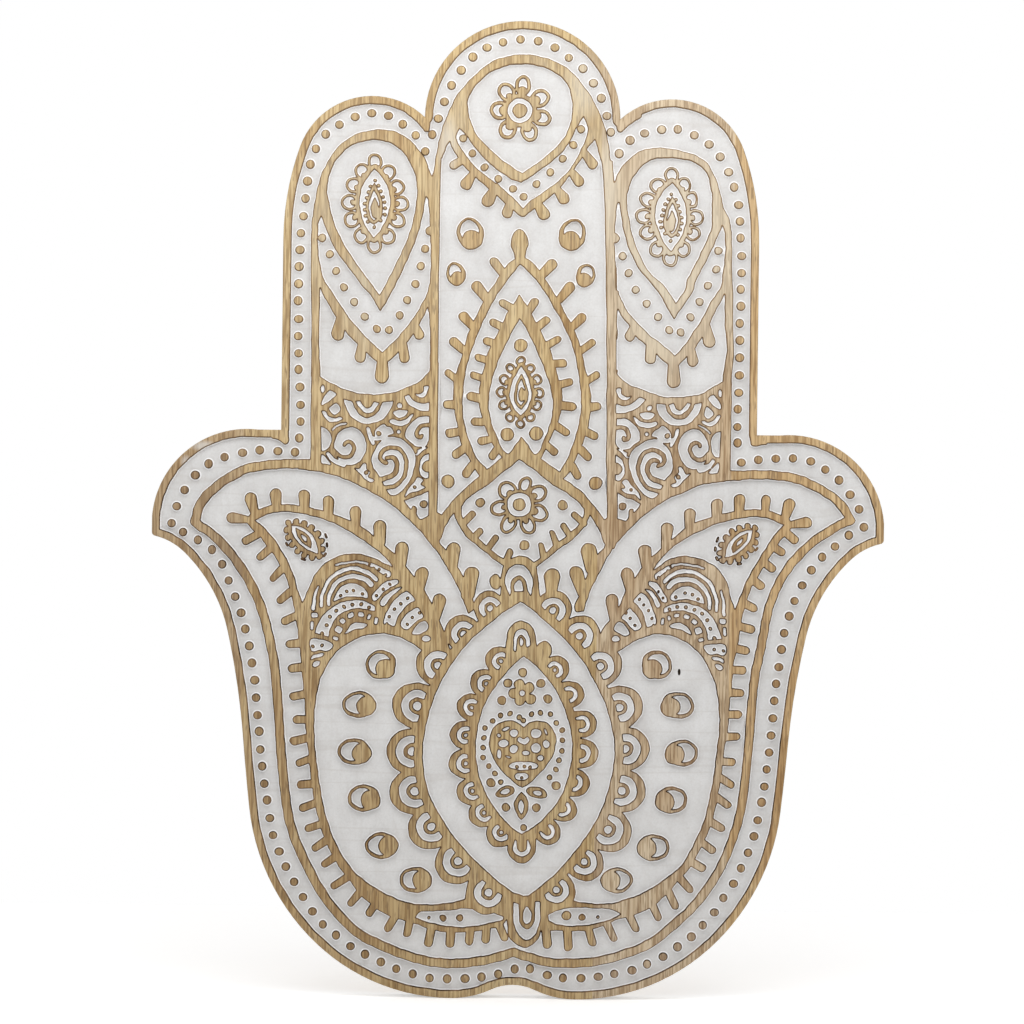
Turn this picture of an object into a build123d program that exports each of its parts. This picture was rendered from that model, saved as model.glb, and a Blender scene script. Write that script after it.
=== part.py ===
import os
from math import atan2, degrees
from build123d import *

os.makedirs("parts", exist_ok=True)

# Frame: the back of the panel is the plane y = 0 and the carved front faces -Y.
# Sketches are drawn in (x, z): x from the mid-line of the hand, z up from the wall mount at mid-height.
# A point of the carving is given for the right half and mirrored to the left.

# Panel sizes, in millimetres
panel_thickness = 22.0
relief_depth = 2.5
seams = (-170.0, -93.0, -20.0, 48.0, 130.0)
board_names = (
    "board_left_thumb",
    "board_left_outer",
    "board_left_inner",
    "board_centre",
    "board_right_inner",
    "board_right_thumb",
)

# Outline of the hand
middle_finger_radius = 60.0
middle_finger_top = 300.0
side_finger_radius = 47.0
side_finger_x = 92.0
side_finger_top = 253.0
side_finger_shoulder = 165.0
side_finger_crown_arc = 160.0
finger_edge_x = 146.0
thumb_top = 47.5
thumb_crown_x = 160.0
thumb_reach = 224.6
thumb_knuckle = (206.3, 32.0)
thumb_side_z = -6.0
thumb_tip_z = -18.0
thumb_tip_fillet = 2.5
thumb_crook = (204.8, -28.0)
waist = (177.5, -76.0)
palm_side = (167.2, -142.0)
palm_corner = (163.0, -184.0)
palm_heel = (120.0, -268.2)
palm_foot = (38.0, -300.0)
palm_notch_z = -291.5
notch_turn_share = 0.35

# Border and carved bands
rim_width = 5.0
groove_width = 15.5
band_width = 5.6
thin_band_width = 4.6
border_dot_radius = 2.4
border_dot_pitch = 11.0
drop_width = 6.4
drop_height = 12.0
tip_radius = 1.5

# Middle finger: teardrop, chevron and almond on the mid-line
middle_drop_radius = 34.5
middle_drop_z = 240.0
middle_drop_tip_z = 204.0
divider_x = 53.0
divider_path = ((53.0, -12.0), (53.0, 60.0), (53.0, 130.0), (53.0, 196.0), (49.5, 224.0), (40.0, 251.0))
chevron_path = ((46.0, 226.0), (36.0, 209.0), (18.0, 195.0), (0.0, 182.0))
chevron_drops = ((34.0, 200.0), (21.0, 189.0), (9.5, 181.0))
almond_path = ((0.0, 153.0), (15.0, 133.0), (30.0, 97.0), (37.0, 57.0), (32.0, 34.0), (21.0, 21.0))
almond_drops = ((17.0, 151.0), (27.0, 136.0), (35.0, 118.0), (41.0, 101.0), (44.0, 82.0),
                (44.0, 63.5), (42.5, 46.0), (38.0, 34.0), (30.0, 23.5))
almond_knob = (5.0, 8.5)
almond_knob_z = 163.0
leaf_path = ((0.0, 121.0), (11.0, 101.0), (19.0, 80.0), (21.0, 60.0), (17.0, 44.0), (9.0, 32.0), (0.0, 41.0))
leaf_teeth = ((16.0, 114.0), (21.0, 103.0), (25.0, 92.0), (28.0, 81.5), (30.0, 69.0), (27.5, 55.0),
              (23.0, 43.0))
leaf_dots = ((0.0, 101.0), (8.0, 46.5))
leaf_dot_radius = 3.9
eye_upper = ((0.0, 33.0), (24.0, 19.0), (40.0, 6.0), (51.0, -12.0))
eye_lower = ((36.0, 0.0), (31.0, -13.0), (21.0, -24.0), (8.0, -32.0))
flower_z = 4.0
flower_petal_ring = 11.5
flower_petal_radius = 5.6
flower_petals = 7
flower_moat_radius = 7.3
flower_heart_radius = 3.6

# Side fingers: teardrop, chevron and scroll panel
side_drop_radius = 27.5
side_drop_z = 199.0
side_drop_tip = (85.0, 132.0)
frame_line_x = 126.0
side_chevron_outer = ((125.0, 172.0), (116.0, 138.0), (102.0, 112.0), (85.0, 92.0))
side_chevron_inner = ((55.0, 160.0), (60.0, 133.0), (70.0, 110.0), (85.0, 92.0))
side_chevron_drops = ((112.5, 109.0), (98.0, 95.5), (84.5, 84.0), (71.0, 95.5), (61.5, 108.0))
panel_sill_z = 67.0
panel_sill_end_z = 78.0
arch_path = ((128.0, 26.5), (98.0, 16.0), (71.0, -3.0), (50.0, -24.0), (34.0, -54.0))
scrolls = ((106.0, 38.0, 11.0), (77.0, 30.0, 13.5), (92.0, 61.0, 9.0))
scroll_boss_share = 0.5

# Wings: toothed leaf on the thumb that runs on round the palm
wing_upper = ((164.0, -6.0), (142.0, -0.5), (118.0, -3.5), (96.0, -13.0), (74.0, -29.0), (52.0, -58.0))
wing_lower = ((164.0, -8.0), (146.0, -30.0), (137.0, -60.0), (129.5, -95.0), (126.0, -140.0),
              (118.0, -188.0), (103.0, -219.0), (75.0, -241.0), (30.0, -245.0))
wing_drops = ((163.5, 3.0), (149.0, 5.0), (131.5, 4.0), (116.5, 0.0), (100.0, -6.0), (84.0, -15.0),
              (70.0, -27.0), (58.0, -43.0), (47.0, -58.0))
wing_teeth = 21
wing_tooth_length = 11.0
wing_tooth_width = 5.0
fan_outer_foot = (125.0, -104.0)
fan_inner_foot = (57.0, -86.0)
fan_crown = (97.0, -30.5)
fan_sill = (85.0, -77.5)
fan_centre = (97.0, -80.0)
fan_grooves = (44.0, 36.0, 28.0, 20.0)
fan_groove_width = 3.0
fan_groove_start = 60.0
fan_groove_arc = 90.0

# Moons in the palm
moons = ((83.5, -96.0), (96.5, -120.5), (99.0, -149.5), (92.5, -178.0), (81.5, -206.5), (60.5, -227.5))
moon_size = (9.8, 8.2)
moon_hollow_radius = 5.2
moon_hollow_shift = 3.6

# Palm almond and heart
palm_axis_x = 3.0
outer_almond = (-56.5, 58.5, -237.0)
outer_petals = 8
outer_petal_radius = 11.0
inner_almond = (-89.5, 29.5, -199.0)
inner_petals = 7
inner_petal_radius = 8.0
petal_hollow_share = 0.7
petal_boss_share = 0.42
heart_lobe_z = -142.0
heart_lobe_radius = 11.5
heart_lobe_x = 9.5
heart_tip_z = -168.0

# Hanging hardware on the back
hanger_x = 112.0
hanger_z = 150.0
strap_width = 12.0
strap_thickness = 1.2
strap_length = 42.0
strap_corner_share = 0.25
eye_bore_radius = 2.0
eye_wrap = 300.0
ring_wire_radius = 1.5
ring_half_width = 13.0
ring_corner_radius = 2.5
screw_drops = (23.5, 36.0)
screw_shank_radius = 1.75
screw_shank_length = 14.0
screw_head_radius = 3.5
screw_head_height = 2.2
screw_head_round_share = 0.6
screw_slot_width = 0.9
screw_slot_depth = 0.9
screw_clearance = 0.05
bumper_x = 112.0
bumper_z = -215.0
bumper_radius = 9.0
bumper_height = 6.0
bumper_edge_fillet = 1.5

# Sizes that follow
ground_depth = panel_thickness - relief_depth
middle_centre_z = middle_finger_top - middle_finger_radius
side_centre_z = side_finger_top - side_finger_radius
band_inset = rim_width + groove_width
dot_inset = rim_width + groove_width / 2
eye_outer_radius = eye_bore_radius + strap_thickness
panel_reach = 2 * (thumb_reach + middle_finger_top)


def left(point):
    """The same point on the left half of the hand."""
    return (-point[0], point[1])


def strip(points, width):
    """A raised band of one width along a smooth line through the points."""
    with BuildLine(mode=Mode.PRIVATE) as path:
        Spline(*[left(point) for point in points])
    trace(path.line, line_width=width)
    return path.line


# Outline: palm and thumbs, then three fingers
with BuildSketch() as palm:
    with BuildLine():
        notch_point = (0.0, palm_notch_z)
        foot_point = left(palm_foot)
        turn_point = tuple(a + (b - a) * notch_turn_share for a, b in zip(notch_point, foot_point))
        dip = TangentArc(notch_point, turn_point, tangent=(-1, 0))
        swell = TangentArc(dip @ 1, foot_point, tangent=dip % 1)
        heel = TangentArc(swell @ 1, left(palm_heel), tangent=swell % 1)
        corner = TangentArc(heel @ 1, left(palm_corner), tangent=heel % 1)
        side = TangentArc(corner @ 1, left(palm_side), tangent=corner % 1)
        hollow = TangentArc(side @ 1, left(waist), tangent=side % 1)
        crook = TangentArc(hollow @ 1, left(thumb_crook), tangent=hollow % 1)
        tip = TangentArc(crook @ 1, (-thumb_reach, thumb_tip_z), tangent=crook % 1)
        Line(tip @ 1, (-thumb_reach, thumb_side_z))
        ThreePointArc((-thumb_reach, thumb_side_z), left(thumb_knuckle), (-thumb_crown_x, thumb_top))
        Polyline((-thumb_crown_x, thumb_top), (0, thumb_top), notch_point)
    make_face()
    mirror(about=Plane.YZ)
    fillet(palm.vertices().group_by(Axis.X)[0].sort_by(Axis.Y)[0], thumb_tip_fillet)
    fillet(palm.vertices().group_by(Axis.X)[-1].sort_by(Axis.Y)[0], thumb_tip_fillet)

with BuildSketch() as side_finger:
    with BuildLine():
        edge = Line((-finger_edge_x, 0), (-finger_edge_x, side_finger_shoulder))
        top = CenterArc((-side_finger_x, side_centre_z), side_finger_radius, 0, side_finger_crown_arc)
        TangentArc(edge @ 1, top @ 1, tangent=edge % 1)
        Polyline(top @ 0, (side_finger_radius - side_finger_x, 0), edge @ 0)
    make_face()
    mirror(about=Plane.YZ)

with BuildSketch() as hand:
    add(palm.sketch)
    add(side_finger.sketch)
    with Locations((0, middle_centre_z)):
        Circle(middle_finger_radius)
    with Locations((0, middle_centre_z / 2)):
        Rectangle(2 * middle_finger_radius, middle_centre_z)

# Border: rim, dots in the groove, and the band inside the groove
with BuildSketch() as border:
    add(hand.sketch)
    offset(hand.sketch, amount=-rim_width, mode=Mode.SUBTRACT)
    dot_line = offset(hand.sketch, amount=-dot_inset, mode=Mode.PRIVATE).face().outer_wire()
    dot_count = round(dot_line.length / border_dot_pitch)
    with Locations(*[dot_line.position_at(i / dot_count) for i in range(dot_count)]):
        Circle(border_dot_radius)

with BuildSketch() as palm_band:
    offset(palm.sketch, amount=-band_inset, mode=Mode.ADD)
    offset(palm.sketch, amount=-band_inset - band_width, mode=Mode.SUBTRACT)
    with Locations((0, thumb_top - band_inset)):
        Rectangle(2 * frame_line_x, 4 * band_width, mode=Mode.SUBTRACT)


# Side finger: frame line, divider, teardrop, chevron with hanging drops
with BuildSketch() as side_teardrop:
    with Locations((-side_finger_x, side_drop_z)):
        Circle(side_drop_radius)
    with Locations(left(side_drop_tip)):
        Circle(tip_radius)
    make_hull()

with BuildSketch() as finger_carving:
    strip(side_chevron_outer, band_width)
    strip(side_chevron_inner, band_width)
    offset(side_teardrop.sketch, amount=band_width, mode=Mode.ADD)
    add(side_teardrop.sketch, mode=Mode.SUBTRACT)
    with Locations((-frame_line_x, (side_drop_z + arch_path[0][1]) / 2)):
        Rectangle(band_width, side_drop_z - arch_path[0][1])
    with Locations(*[left(point) for point in side_chevron_drops]):
        Ellipse(drop_width / 2, drop_height / 2)

# Scroll panel between the finger and the arch over the palm
with BuildSketch() as scroll_panel:
    with BuildLine():
        sill = ThreePointArc(
            (-frame_line_x, panel_sill_end_z),
            (-side_finger_x, panel_sill_z),
            (-divider_x, panel_sill_end_z),
        )
        arch_edge = Spline(*[left(point) for point in arch_path[:4]])
        Line(sill @ 1, arch_edge @ 1)
        Line(arch_edge @ 0, sill @ 0)
    make_face()
    for x, z, radius in scrolls:
        with Locations((-x, z)):
            Circle(radius, mode=Mode.SUBTRACT)
            Circle(radius * scroll_boss_share)

# Wing: toothed leaf with drops above and teeth outside, and the fan inside it
with BuildSketch() as wing_carving:
    strip(arch_path, band_width)
    strip(wing_upper, band_width)
    lower_line = strip(wing_lower, band_width)
    with Locations(*[left(point) for point in wing_drops]):
        Ellipse(drop_width / 2, drop_height / 2)
    for i in range(wing_teeth):
        share = (i + 1) / (wing_teeth + 1)
        foot = lower_line @ share
        along = lower_line % share
        with Locations(Location((foot.X, foot.Y, 0), (0, 0, degrees(atan2(along.Y, along.X)) - 90))):
            with Locations((wing_tooth_length / 2, 0)):
                SlotOverall(wing_tooth_length, wing_tooth_width)

with BuildSketch() as fan_panel:
    with BuildLine():
        ThreePointArc(left(fan_outer_foot), left(fan_crown), left(fan_inner_foot))
        ThreePointArc(left(fan_inner_foot), left(fan_sill), left(fan_outer_foot))
    make_face()
    for radius in fan_grooves:
        with BuildLine():
            CenterArc(left(fan_centre), radius, fan_groove_start, fan_groove_arc)
        trace(line_width=fan_groove_width, mode=Mode.SUBTRACT)

with BuildSketch() as moon_carving:
    for x, z in moons:
        with Locations((-x, z)):
            Ellipse(*moon_size)
            with Locations((-moon_hollow_shift, 0)):
                Circle(moon_hollow_radius, mode=Mode.SUBTRACT)

# Middle finger: divider, chevron, almond with its toothed leaf, and the eye under it
with BuildSketch() as middle_teardrop:
    with Locations((0, middle_drop_z)):
        Circle(middle_drop_radius)
    with Locations((0, middle_drop_tip_z)):
        Circle(tip_radius)
    make_hull()

with BuildSketch() as middle_carving:
    strip(divider_path, band_width)
    strip(chevron_path, band_width)
    strip(almond_path, band_width)
    strip(leaf_path, band_width)
    strip(eye_upper, band_width)
    strip(eye_lower, thin_band_width)
    with Locations(*[left(point) for point in chevron_drops + almond_drops + leaf_teeth]):
        Circle(drop_width / 2)
    with Locations(*[left(point) for point in leaf_dots]):
        Circle(leaf_dot_radius)

with BuildSketch() as flower:
    with Locations((0, flower_z)):
        with PolarLocations(flower_petal_ring, flower_petals, start_angle=90):
            Circle(flower_petal_radius)
        Circle(flower_petal_ring)
        Circle(flower_moat_radius, mode=Mode.SUBTRACT)
        Circle(flower_heart_radius)


# Palm: two almonds edged with petals, one inside the other, and the heart
def almond(top_z, half_width, bottom_z):
    """The two sides of an almond on the palm's axis, left side first, both from the top down."""
    middle_z = (top_z + bottom_z) / 2
    top_point = (palm_axis_x, top_z)
    bottom_point = (palm_axis_x, bottom_z)
    with BuildLine(mode=Mode.PRIVATE) as sides:
        ThreePointArc(top_point, (palm_axis_x - half_width, middle_z), bottom_point)
        ThreePointArc(top_point, (palm_axis_x + half_width, middle_z), bottom_point)
    return sides.line


def petals(sides, count, radius):
    """A row of hollow petals with a boss in each, along both sides of an almond."""
    places = []
    for side_line in sides.edges():
        for i in range(count):
            point = side_line @ ((i + 0.5) / count)
            out = point - Vector(palm_axis_x, (side_line @ 0.5).Y)
            places.append(point + out.normalized() * radius)
    with Locations(*places):
        Circle(radius)
        Circle(radius * petal_hollow_share, mode=Mode.SUBTRACT)
        Circle(radius * petal_boss_share)


outer_sides = almond(*outer_almond)
inner_sides = almond(*inner_almond)
outer_ground = make_face(outer_sides.edges())
inner_ground = make_face(inner_sides.edges())

with BuildSketch() as heart:
    for lobe_x in (-heart_lobe_x, heart_lobe_x):
        with BuildSketch(mode=Mode.PRIVATE) as half_heart:
            with Locations((palm_axis_x + lobe_x, heart_lobe_z)):
                Circle(heart_lobe_radius)
            with Locations((palm_axis_x, heart_tip_z)):
                Circle(tip_radius)
            make_hull()
        add(half_heart.sketch)

# The whole carving, cut off at the edge of the hand
with BuildSketch() as carving:
    add(border.sketch)
    add(palm_band.sketch)
    for half in (finger_carving, scroll_panel, wing_carving, fan_panel, moon_carving, middle_carving):
        add(half.sketch)
        add(mirror(half.sketch, about=Plane.YZ, mode=Mode.PRIVATE))
    offset(middle_teardrop.sketch, amount=band_width, mode=Mode.ADD)
    add(middle_teardrop.sketch, mode=Mode.SUBTRACT)
    with Locations((0, almond_knob_z)):
        Ellipse(*almond_knob)
    add(flower.sketch)
    petals(outer_sides, outer_petals, outer_petal_radius)
    offset(outer_ground, amount=band_width, mode=Mode.ADD)
    add(outer_ground, mode=Mode.SUBTRACT)
    petals(inner_sides, inner_petals, inner_petal_radius)
    offset(inner_ground, amount=band_width, mode=Mode.ADD)
    add(inner_ground, mode=Mode.SUBTRACT)
    add(heart.sketch)
    add(hand.sketch, mode=Mode.INTERSECT)

# Boards: upright strips of the panel, each with its share of the carving and the pilot holes it needs
screw_places = [
    (side * hanger_x, hanger_z - drop) for side in (-1, 1) for drop in screw_drops
]
board_edges = (-panel_reach, *seams, panel_reach)
for board_name, board_left, board_right in zip(board_names, board_edges, board_edges[1:]):
    strip_place = ((board_left + board_right) / 2, 0)
    strip_size = (board_right - board_left, panel_reach)
    with BuildPart() as board:
        with BuildSketch(Plane.XZ):
            add(hand.sketch)
            with Locations(strip_place):
                Rectangle(*strip_size, mode=Mode.INTERSECT)
        extrude(amount=ground_depth)
        with BuildSketch(Plane.XZ.offset(ground_depth)):
            add(carving.sketch)
            with Locations(strip_place):
                Rectangle(*strip_size, mode=Mode.INTERSECT)
        extrude(amount=relief_depth)
        pilot_places = [place for place in screw_places if board_left < place[0] < board_right]
        if pilot_places:
            with BuildSketch(Plane.XZ):
                with Locations(*pilot_places):
                    Circle(screw_shank_radius + screw_clearance)
            extrude(amount=screw_shank_length - strap_thickness + screw_clearance, mode=Mode.SUBTRACT)
    board.part.label = board_name
    export_step(board.part, f"parts/{board_name}.step")

# Hangers: a steel strap bent round into an eye, with a D ring swinging in the eye
for side_name, side in (("left", -1), ("right", 1)):
    eye_plane = Plane.YZ.offset(side * hanger_x)
    with BuildPart() as strap:
        with BuildSketch(eye_plane):
            with Locations((strap_thickness / 2, hanger_z - strap_length / 2)):
                Rectangle(strap_thickness, strap_length)
            with BuildLine():
                eye_middle_radius = eye_bore_radius + strap_thickness / 2
                CenterArc((eye_outer_radius, hanger_z), eye_middle_radius, 180, -eye_wrap)
            trace(line_width=strap_thickness)
        extrude(amount=strap_width / 2, both=True)
        with BuildSketch(Plane.XZ):
            with Locations(*[(side * hanger_x, hanger_z - drop) for drop in screw_drops]):
                Circle(screw_shank_radius + screw_clearance)
        extrude(amount=-strap_thickness, mode=Mode.SUBTRACT)
        corners = strap.edges().filter_by(Axis.Y).group_by(Axis.Z)[0]
        fillet(corners, strap_width * strap_corner_share)
    strap.part.label = f"hanger_strap_{side_name}"
    export_step(strap.part, f"parts/hanger_strap_{side_name}.step")

    eye_centre = (side * hanger_x, eye_outer_radius, hanger_z)
    ring_plane = Plane(origin=eye_centre, x_dir=(1, 0, 0), z_dir=(0, -1, 0))
    with BuildPart() as ring:
        with BuildLine(ring_plane):
            bar_end = ring_half_width - ring_corner_radius
            bar = Line((-bar_end, 0), (bar_end, 0))
            shoulder = TangentArc(bar @ 1, (ring_half_width, -ring_corner_radius), tangent=bar % 1)
            bow = TangentArc(shoulder @ 1, (-ring_half_width, -ring_corner_radius), tangent=shoulder % 1)
            TangentArc(bow @ 1, bar @ 0, tangent=bow % 1)
        with BuildSketch(Plane(origin=bar @ 0.5, z_dir=bar % 0.5)):
            Circle(ring_wire_radius)
        sweep()
    ring.part.label = f"d_ring_{side_name}"
    export_step(ring.part, f"parts/d_ring_{side_name}.step")

# Screws: four slotted round heads, seated on the straps
with BuildPart() as hanger_screws:
    for x, z in screw_places:
        head_plane = Plane(origin=(x, strap_thickness, z), x_dir=(1, 0, 0), z_dir=(0, 1, 0))
        with BuildSketch(head_plane):
            Circle(screw_head_radius)
        extrude(amount=screw_head_height)
        with BuildSketch(head_plane):
            Circle(screw_shank_radius)
        extrude(amount=-screw_shank_length)
    head_rims = hanger_screws.edges().filter_by(GeomType.CIRCLE).group_by(Axis.Y)[-1]
    fillet(head_rims, screw_head_height * screw_head_round_share)
    for x, z in screw_places:
        with BuildSketch(Plane(origin=(x, strap_thickness + screw_head_height, z), z_dir=(0, 1, 0))):
            Rectangle(2 * screw_head_radius, screw_slot_width)
        extrude(amount=-screw_slot_depth, mode=Mode.SUBTRACT)
hanger_screws.part.label = "hanger_screws"
export_step(hanger_screws.part, "parts/hanger_screws.step")

# Bumpers: round pads low on the back that keep the panel off the wall
for side_name, side in (("left", -1), ("right", 1)):
    with BuildPart() as bumper:
        with BuildSketch(Plane(origin=(side * bumper_x, 0, bumper_z), x_dir=(1, 0, 0), z_dir=(0, 1, 0))):
            Circle(bumper_radius)
        extrude(amount=bumper_height)
        fillet(bumper.edges().group_by(Axis.Y)[-1], bumper_edge_fillet)
    bumper.part.label = f"wall_bumper_{side_name}"
    export_step(bumper.part, f"parts/wall_bumper_{side_name}.step")
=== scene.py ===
"""Hamsa hand wall plaque: the looks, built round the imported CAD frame. Metres, front towards -Y."""
from math import cos, pi, radians, sin

import bpy
import numpy as np
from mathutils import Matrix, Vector
from mathutils.geometry import delaunay_2d_cdt


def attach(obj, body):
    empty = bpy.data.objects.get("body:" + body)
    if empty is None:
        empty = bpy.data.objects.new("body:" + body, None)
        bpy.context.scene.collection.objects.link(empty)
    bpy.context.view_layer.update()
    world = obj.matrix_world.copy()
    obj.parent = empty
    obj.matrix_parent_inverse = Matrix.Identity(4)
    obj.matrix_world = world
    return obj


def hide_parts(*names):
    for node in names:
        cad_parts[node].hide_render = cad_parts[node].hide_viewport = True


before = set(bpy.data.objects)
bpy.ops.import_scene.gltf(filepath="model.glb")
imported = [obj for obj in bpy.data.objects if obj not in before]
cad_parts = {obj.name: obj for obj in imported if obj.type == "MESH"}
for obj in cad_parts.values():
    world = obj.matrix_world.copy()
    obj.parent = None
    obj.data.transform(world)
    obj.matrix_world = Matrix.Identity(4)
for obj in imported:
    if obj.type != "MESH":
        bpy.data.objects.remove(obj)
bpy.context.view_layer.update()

# Outline of the hand
# The edge of the glued panel, cut with a jigsaw round the fingers and the thumbs.
# It is read off the flat backs of the six CAD boards, in millimetres.
seams = (-170.0, -93.0, -20.0, 48.0, 130.0)
board_names = (
    "board_left_thumb", "board_left_outer", "board_left_inner", "board_centre", "board_right_inner",
    "board_right_thumb")
back_edges = set()
for name in board_names:
    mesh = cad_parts[name].data
    spots = np.round(np.array([v.co for v in mesh.vertices]) * 1000, 2)
    for face in mesh.polygons:
        ring = spots[list(face.vertices)]
        if np.abs(ring[:, 1]).max() < 0.01:
            flat = [(float(x), float(z)) for x, y, z in ring]
            back_edges.update(zip(flat, flat[1:] + flat[:1]))
ways = {}
for start, end in back_edges:
    on_seam = any(start[0] == end[0] == x for x in seams)
    if (end, start) not in back_edges and not on_seam:
        ways[end] = start
loops = []
while ways:
    first, here = ways.popitem()
    loop = [first]
    while here != first:
        loop.append(here)
        here = ways.pop(here)
    loops.append(loop)
outline = np.array(max(loops, key=len))

# Drawing of the carving
# The pattern is drawn on the face of the panel, and the wood between its lines is cut away by hand.
# The drawing is a sheet of small square cells, in millimetres with x from the mid-line and z up.
cell = 0.25
board_left = -232.0
board_low = -308.0
board_wide = 464.0
board_tall = 616.0
columns = int(board_wide / cell)
rows = int(board_tall / cell)
carving = np.ones((rows, columns))


def smooth(points, closed=False, steps=6):
    """A smooth line through the points."""
    p = np.array(points, float)
    if len(p) < 3 and not closed:
        return p
    if closed:
        p = np.concatenate([p[-1:], p, p[:2]])
    else:
        p = np.concatenate([[2 * p[0] - p[1]], p, [2 * p[-1] - p[-2]]])
    a, b, c, d = p[:-3, None], p[1:-2, None], p[2:-1, None], p[3:, None]
    t = np.linspace(0, 1, steps, endpoint=False)[None, :, None]
    line = 0.5 * (2 * b + (c - a) * t + (2 * a - 5 * b + 4 * c - d) * t ** 2
                  + (3 * b - a - 3 * c + d) * t ** 3).reshape(-1, 2)
    return line if closed else np.concatenate([line, p[-2:-1]])


def shape(*runs):
    """A closed outline of smooth runs that meet at sharp corners."""
    return np.concatenate([smooth(run) for run in runs])


def blob(*points):
    """A closed outline that is smooth all round."""
    return smooth(points, closed=True)


def oval(x, z, half_wide, half_tall=None, tilt=0.0, roundness=1.0):
    """An ellipse, its upright axis tilted to the left by so many degrees; less round, it nears a square."""
    half_tall = half_wide if half_tall is None else half_tall
    count = max(16, int(4 * max(half_wide, half_tall)))
    turn = np.linspace(0, 2 * pi, count, endpoint=False)
    u, v = np.cos(turn), np.sin(turn)
    u = half_wide * np.sign(u) * np.abs(u) ** roundness
    v = half_tall * np.sign(v) * np.abs(v) ** roundness
    c, s = cos(radians(tilt)), sin(radians(tilt))
    return np.stack([x + u * c - v * s, z + u * s + v * c], 1)


def peg(foot, tip, foot_radius, tip_radius, sides=16):
    """A round-ended peg or drop from its foot to its tip."""
    (x0, z0), (x1, z1) = foot, tip
    along = np.arctan2(z1 - z0, x1 - x0)
    half = np.linspace(-pi / 2, pi / 2, sides // 2)
    end = np.stack([x1 + tip_radius * np.cos(along + half), z1 + tip_radius * np.sin(along + half)], 1)
    start = np.stack([x0 - foot_radius * np.cos(along + half), z0 - foot_radius * np.sin(along + half)], 1)
    return np.concatenate([end, start])


def band(line, width, closed=False, end_width=None):
    """Pegs laid end to end along a line, as a list of outlines."""
    line = np.asarray(line)
    ends = np.roll(line, -1, 0) if closed else line[1:]
    starts = line if closed else line[:-1]
    widths = np.linspace(width, width if end_width is None else end_width, len(starts) + 1) / 2
    return [peg(a, b, widths[i], widths[i + 1], 12) for i, (a, b) in enumerate(zip(starts, ends))]


def shake(points):
    """The small unsteadiness of a hand-held tool."""
    x, z = points[:, 0], points[:, 1]
    dx = 0.16 * np.sin(0.61 * z + 0.17 * x + 1.3) + 0.10 * np.sin(1.37 * z - 0.45 * x)
    dz = 0.16 * np.sin(0.57 * x - 0.21 * z + 0.4) + 0.10 * np.sin(1.29 * x + 0.52 * z + 2.0)
    return points + np.stack([dx, dz], 1)


def work(outlines, height, sheet=carving):
    """Sets the wood inside the outlines to one height: 1 is left standing, 0 is cut away."""
    starts, ends = [], []
    for outline in outlines:
        p = (shake(outline) - (board_left, board_low)) / cell
        q = np.roll(p, -1, 0)
        if np.sum(p[:, 0] * q[:, 1] - q[:, 0] * p[:, 1]) < 0:
            p, q = q, p
        starts.append(p)
        ends.append(q)
    p, q = np.concatenate(starts), np.concatenate(ends)
    low = np.maximum(np.floor(np.minimum(p.min(0), q.min(0))).astype(int) - 1, 0)
    high = np.minimum(np.ceil(np.maximum(p.max(0), q.max(0))).astype(int) + 2, (columns, rows))
    wide, tall = high - low
    p, q = p - low, q - low
    count = np.maximum(1, np.ceil(np.abs(q - p).max(1) * 2)).astype(int)
    index = np.repeat(np.arange(len(p)), count)
    step = np.arange(len(index)) - np.repeat(np.cumsum(count) - count, count)
    a = p[index] + (q - p)[index] * (step / count[index])[:, None]
    b = p[index] + (q - p)[index] * ((step + 1) / count[index])[:, None]
    b[step + 1 == count[index]] = q
    row_a, row_b = np.floor(a[:, 1]), np.floor(b[:, 1])
    line = np.maximum(row_a, row_b)
    crossing = row_a != row_b
    share = np.where(crossing, (line - a[:, 1]) / np.where(crossing, b[:, 1] - a[:, 1], 1), 1)
    middle = a + (b - a) * share[:, None]
    middle[crossing, 1] = line[crossing]
    cover = np.zeros(tall * wide)
    for s, e, row in ((a, middle, row_a), (middle, b, row_b)):
        x = (s[:, 0] + e[:, 0]) / 2
        rise = s[:, 1] - e[:, 1]
        col = np.clip(np.floor(x), 0, wide - 2)
        cellno = (np.clip(row, 0, tall - 1) * wide + col).astype(int)
        part = x - col
        cover += np.bincount(cellno, rise * (1 - part), tall * wide)
        cover += np.bincount(cellno + 1, rise * part, tall * wide)
    cover = np.clip(np.cumsum(cover.reshape(tall, wide), 1), 0, 1)
    view = sheet[low[1]:high[1], low[0]:high[0]]
    view += (height - view) * cover


def stack(outlines):
    """A list of outlines, also where only one is given."""
    return outlines if isinstance(outlines, list) else [outlines]


def keep(*outlines):
    """Leaves the wood inside the outlines standing."""
    for each in outlines:
        work(stack(each), 1.0)


def clear(*outlines):
    """Cuts the wood inside the outlines away down to the ground."""
    for each in outlines:
        work(stack(each), 0.0)


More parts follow.
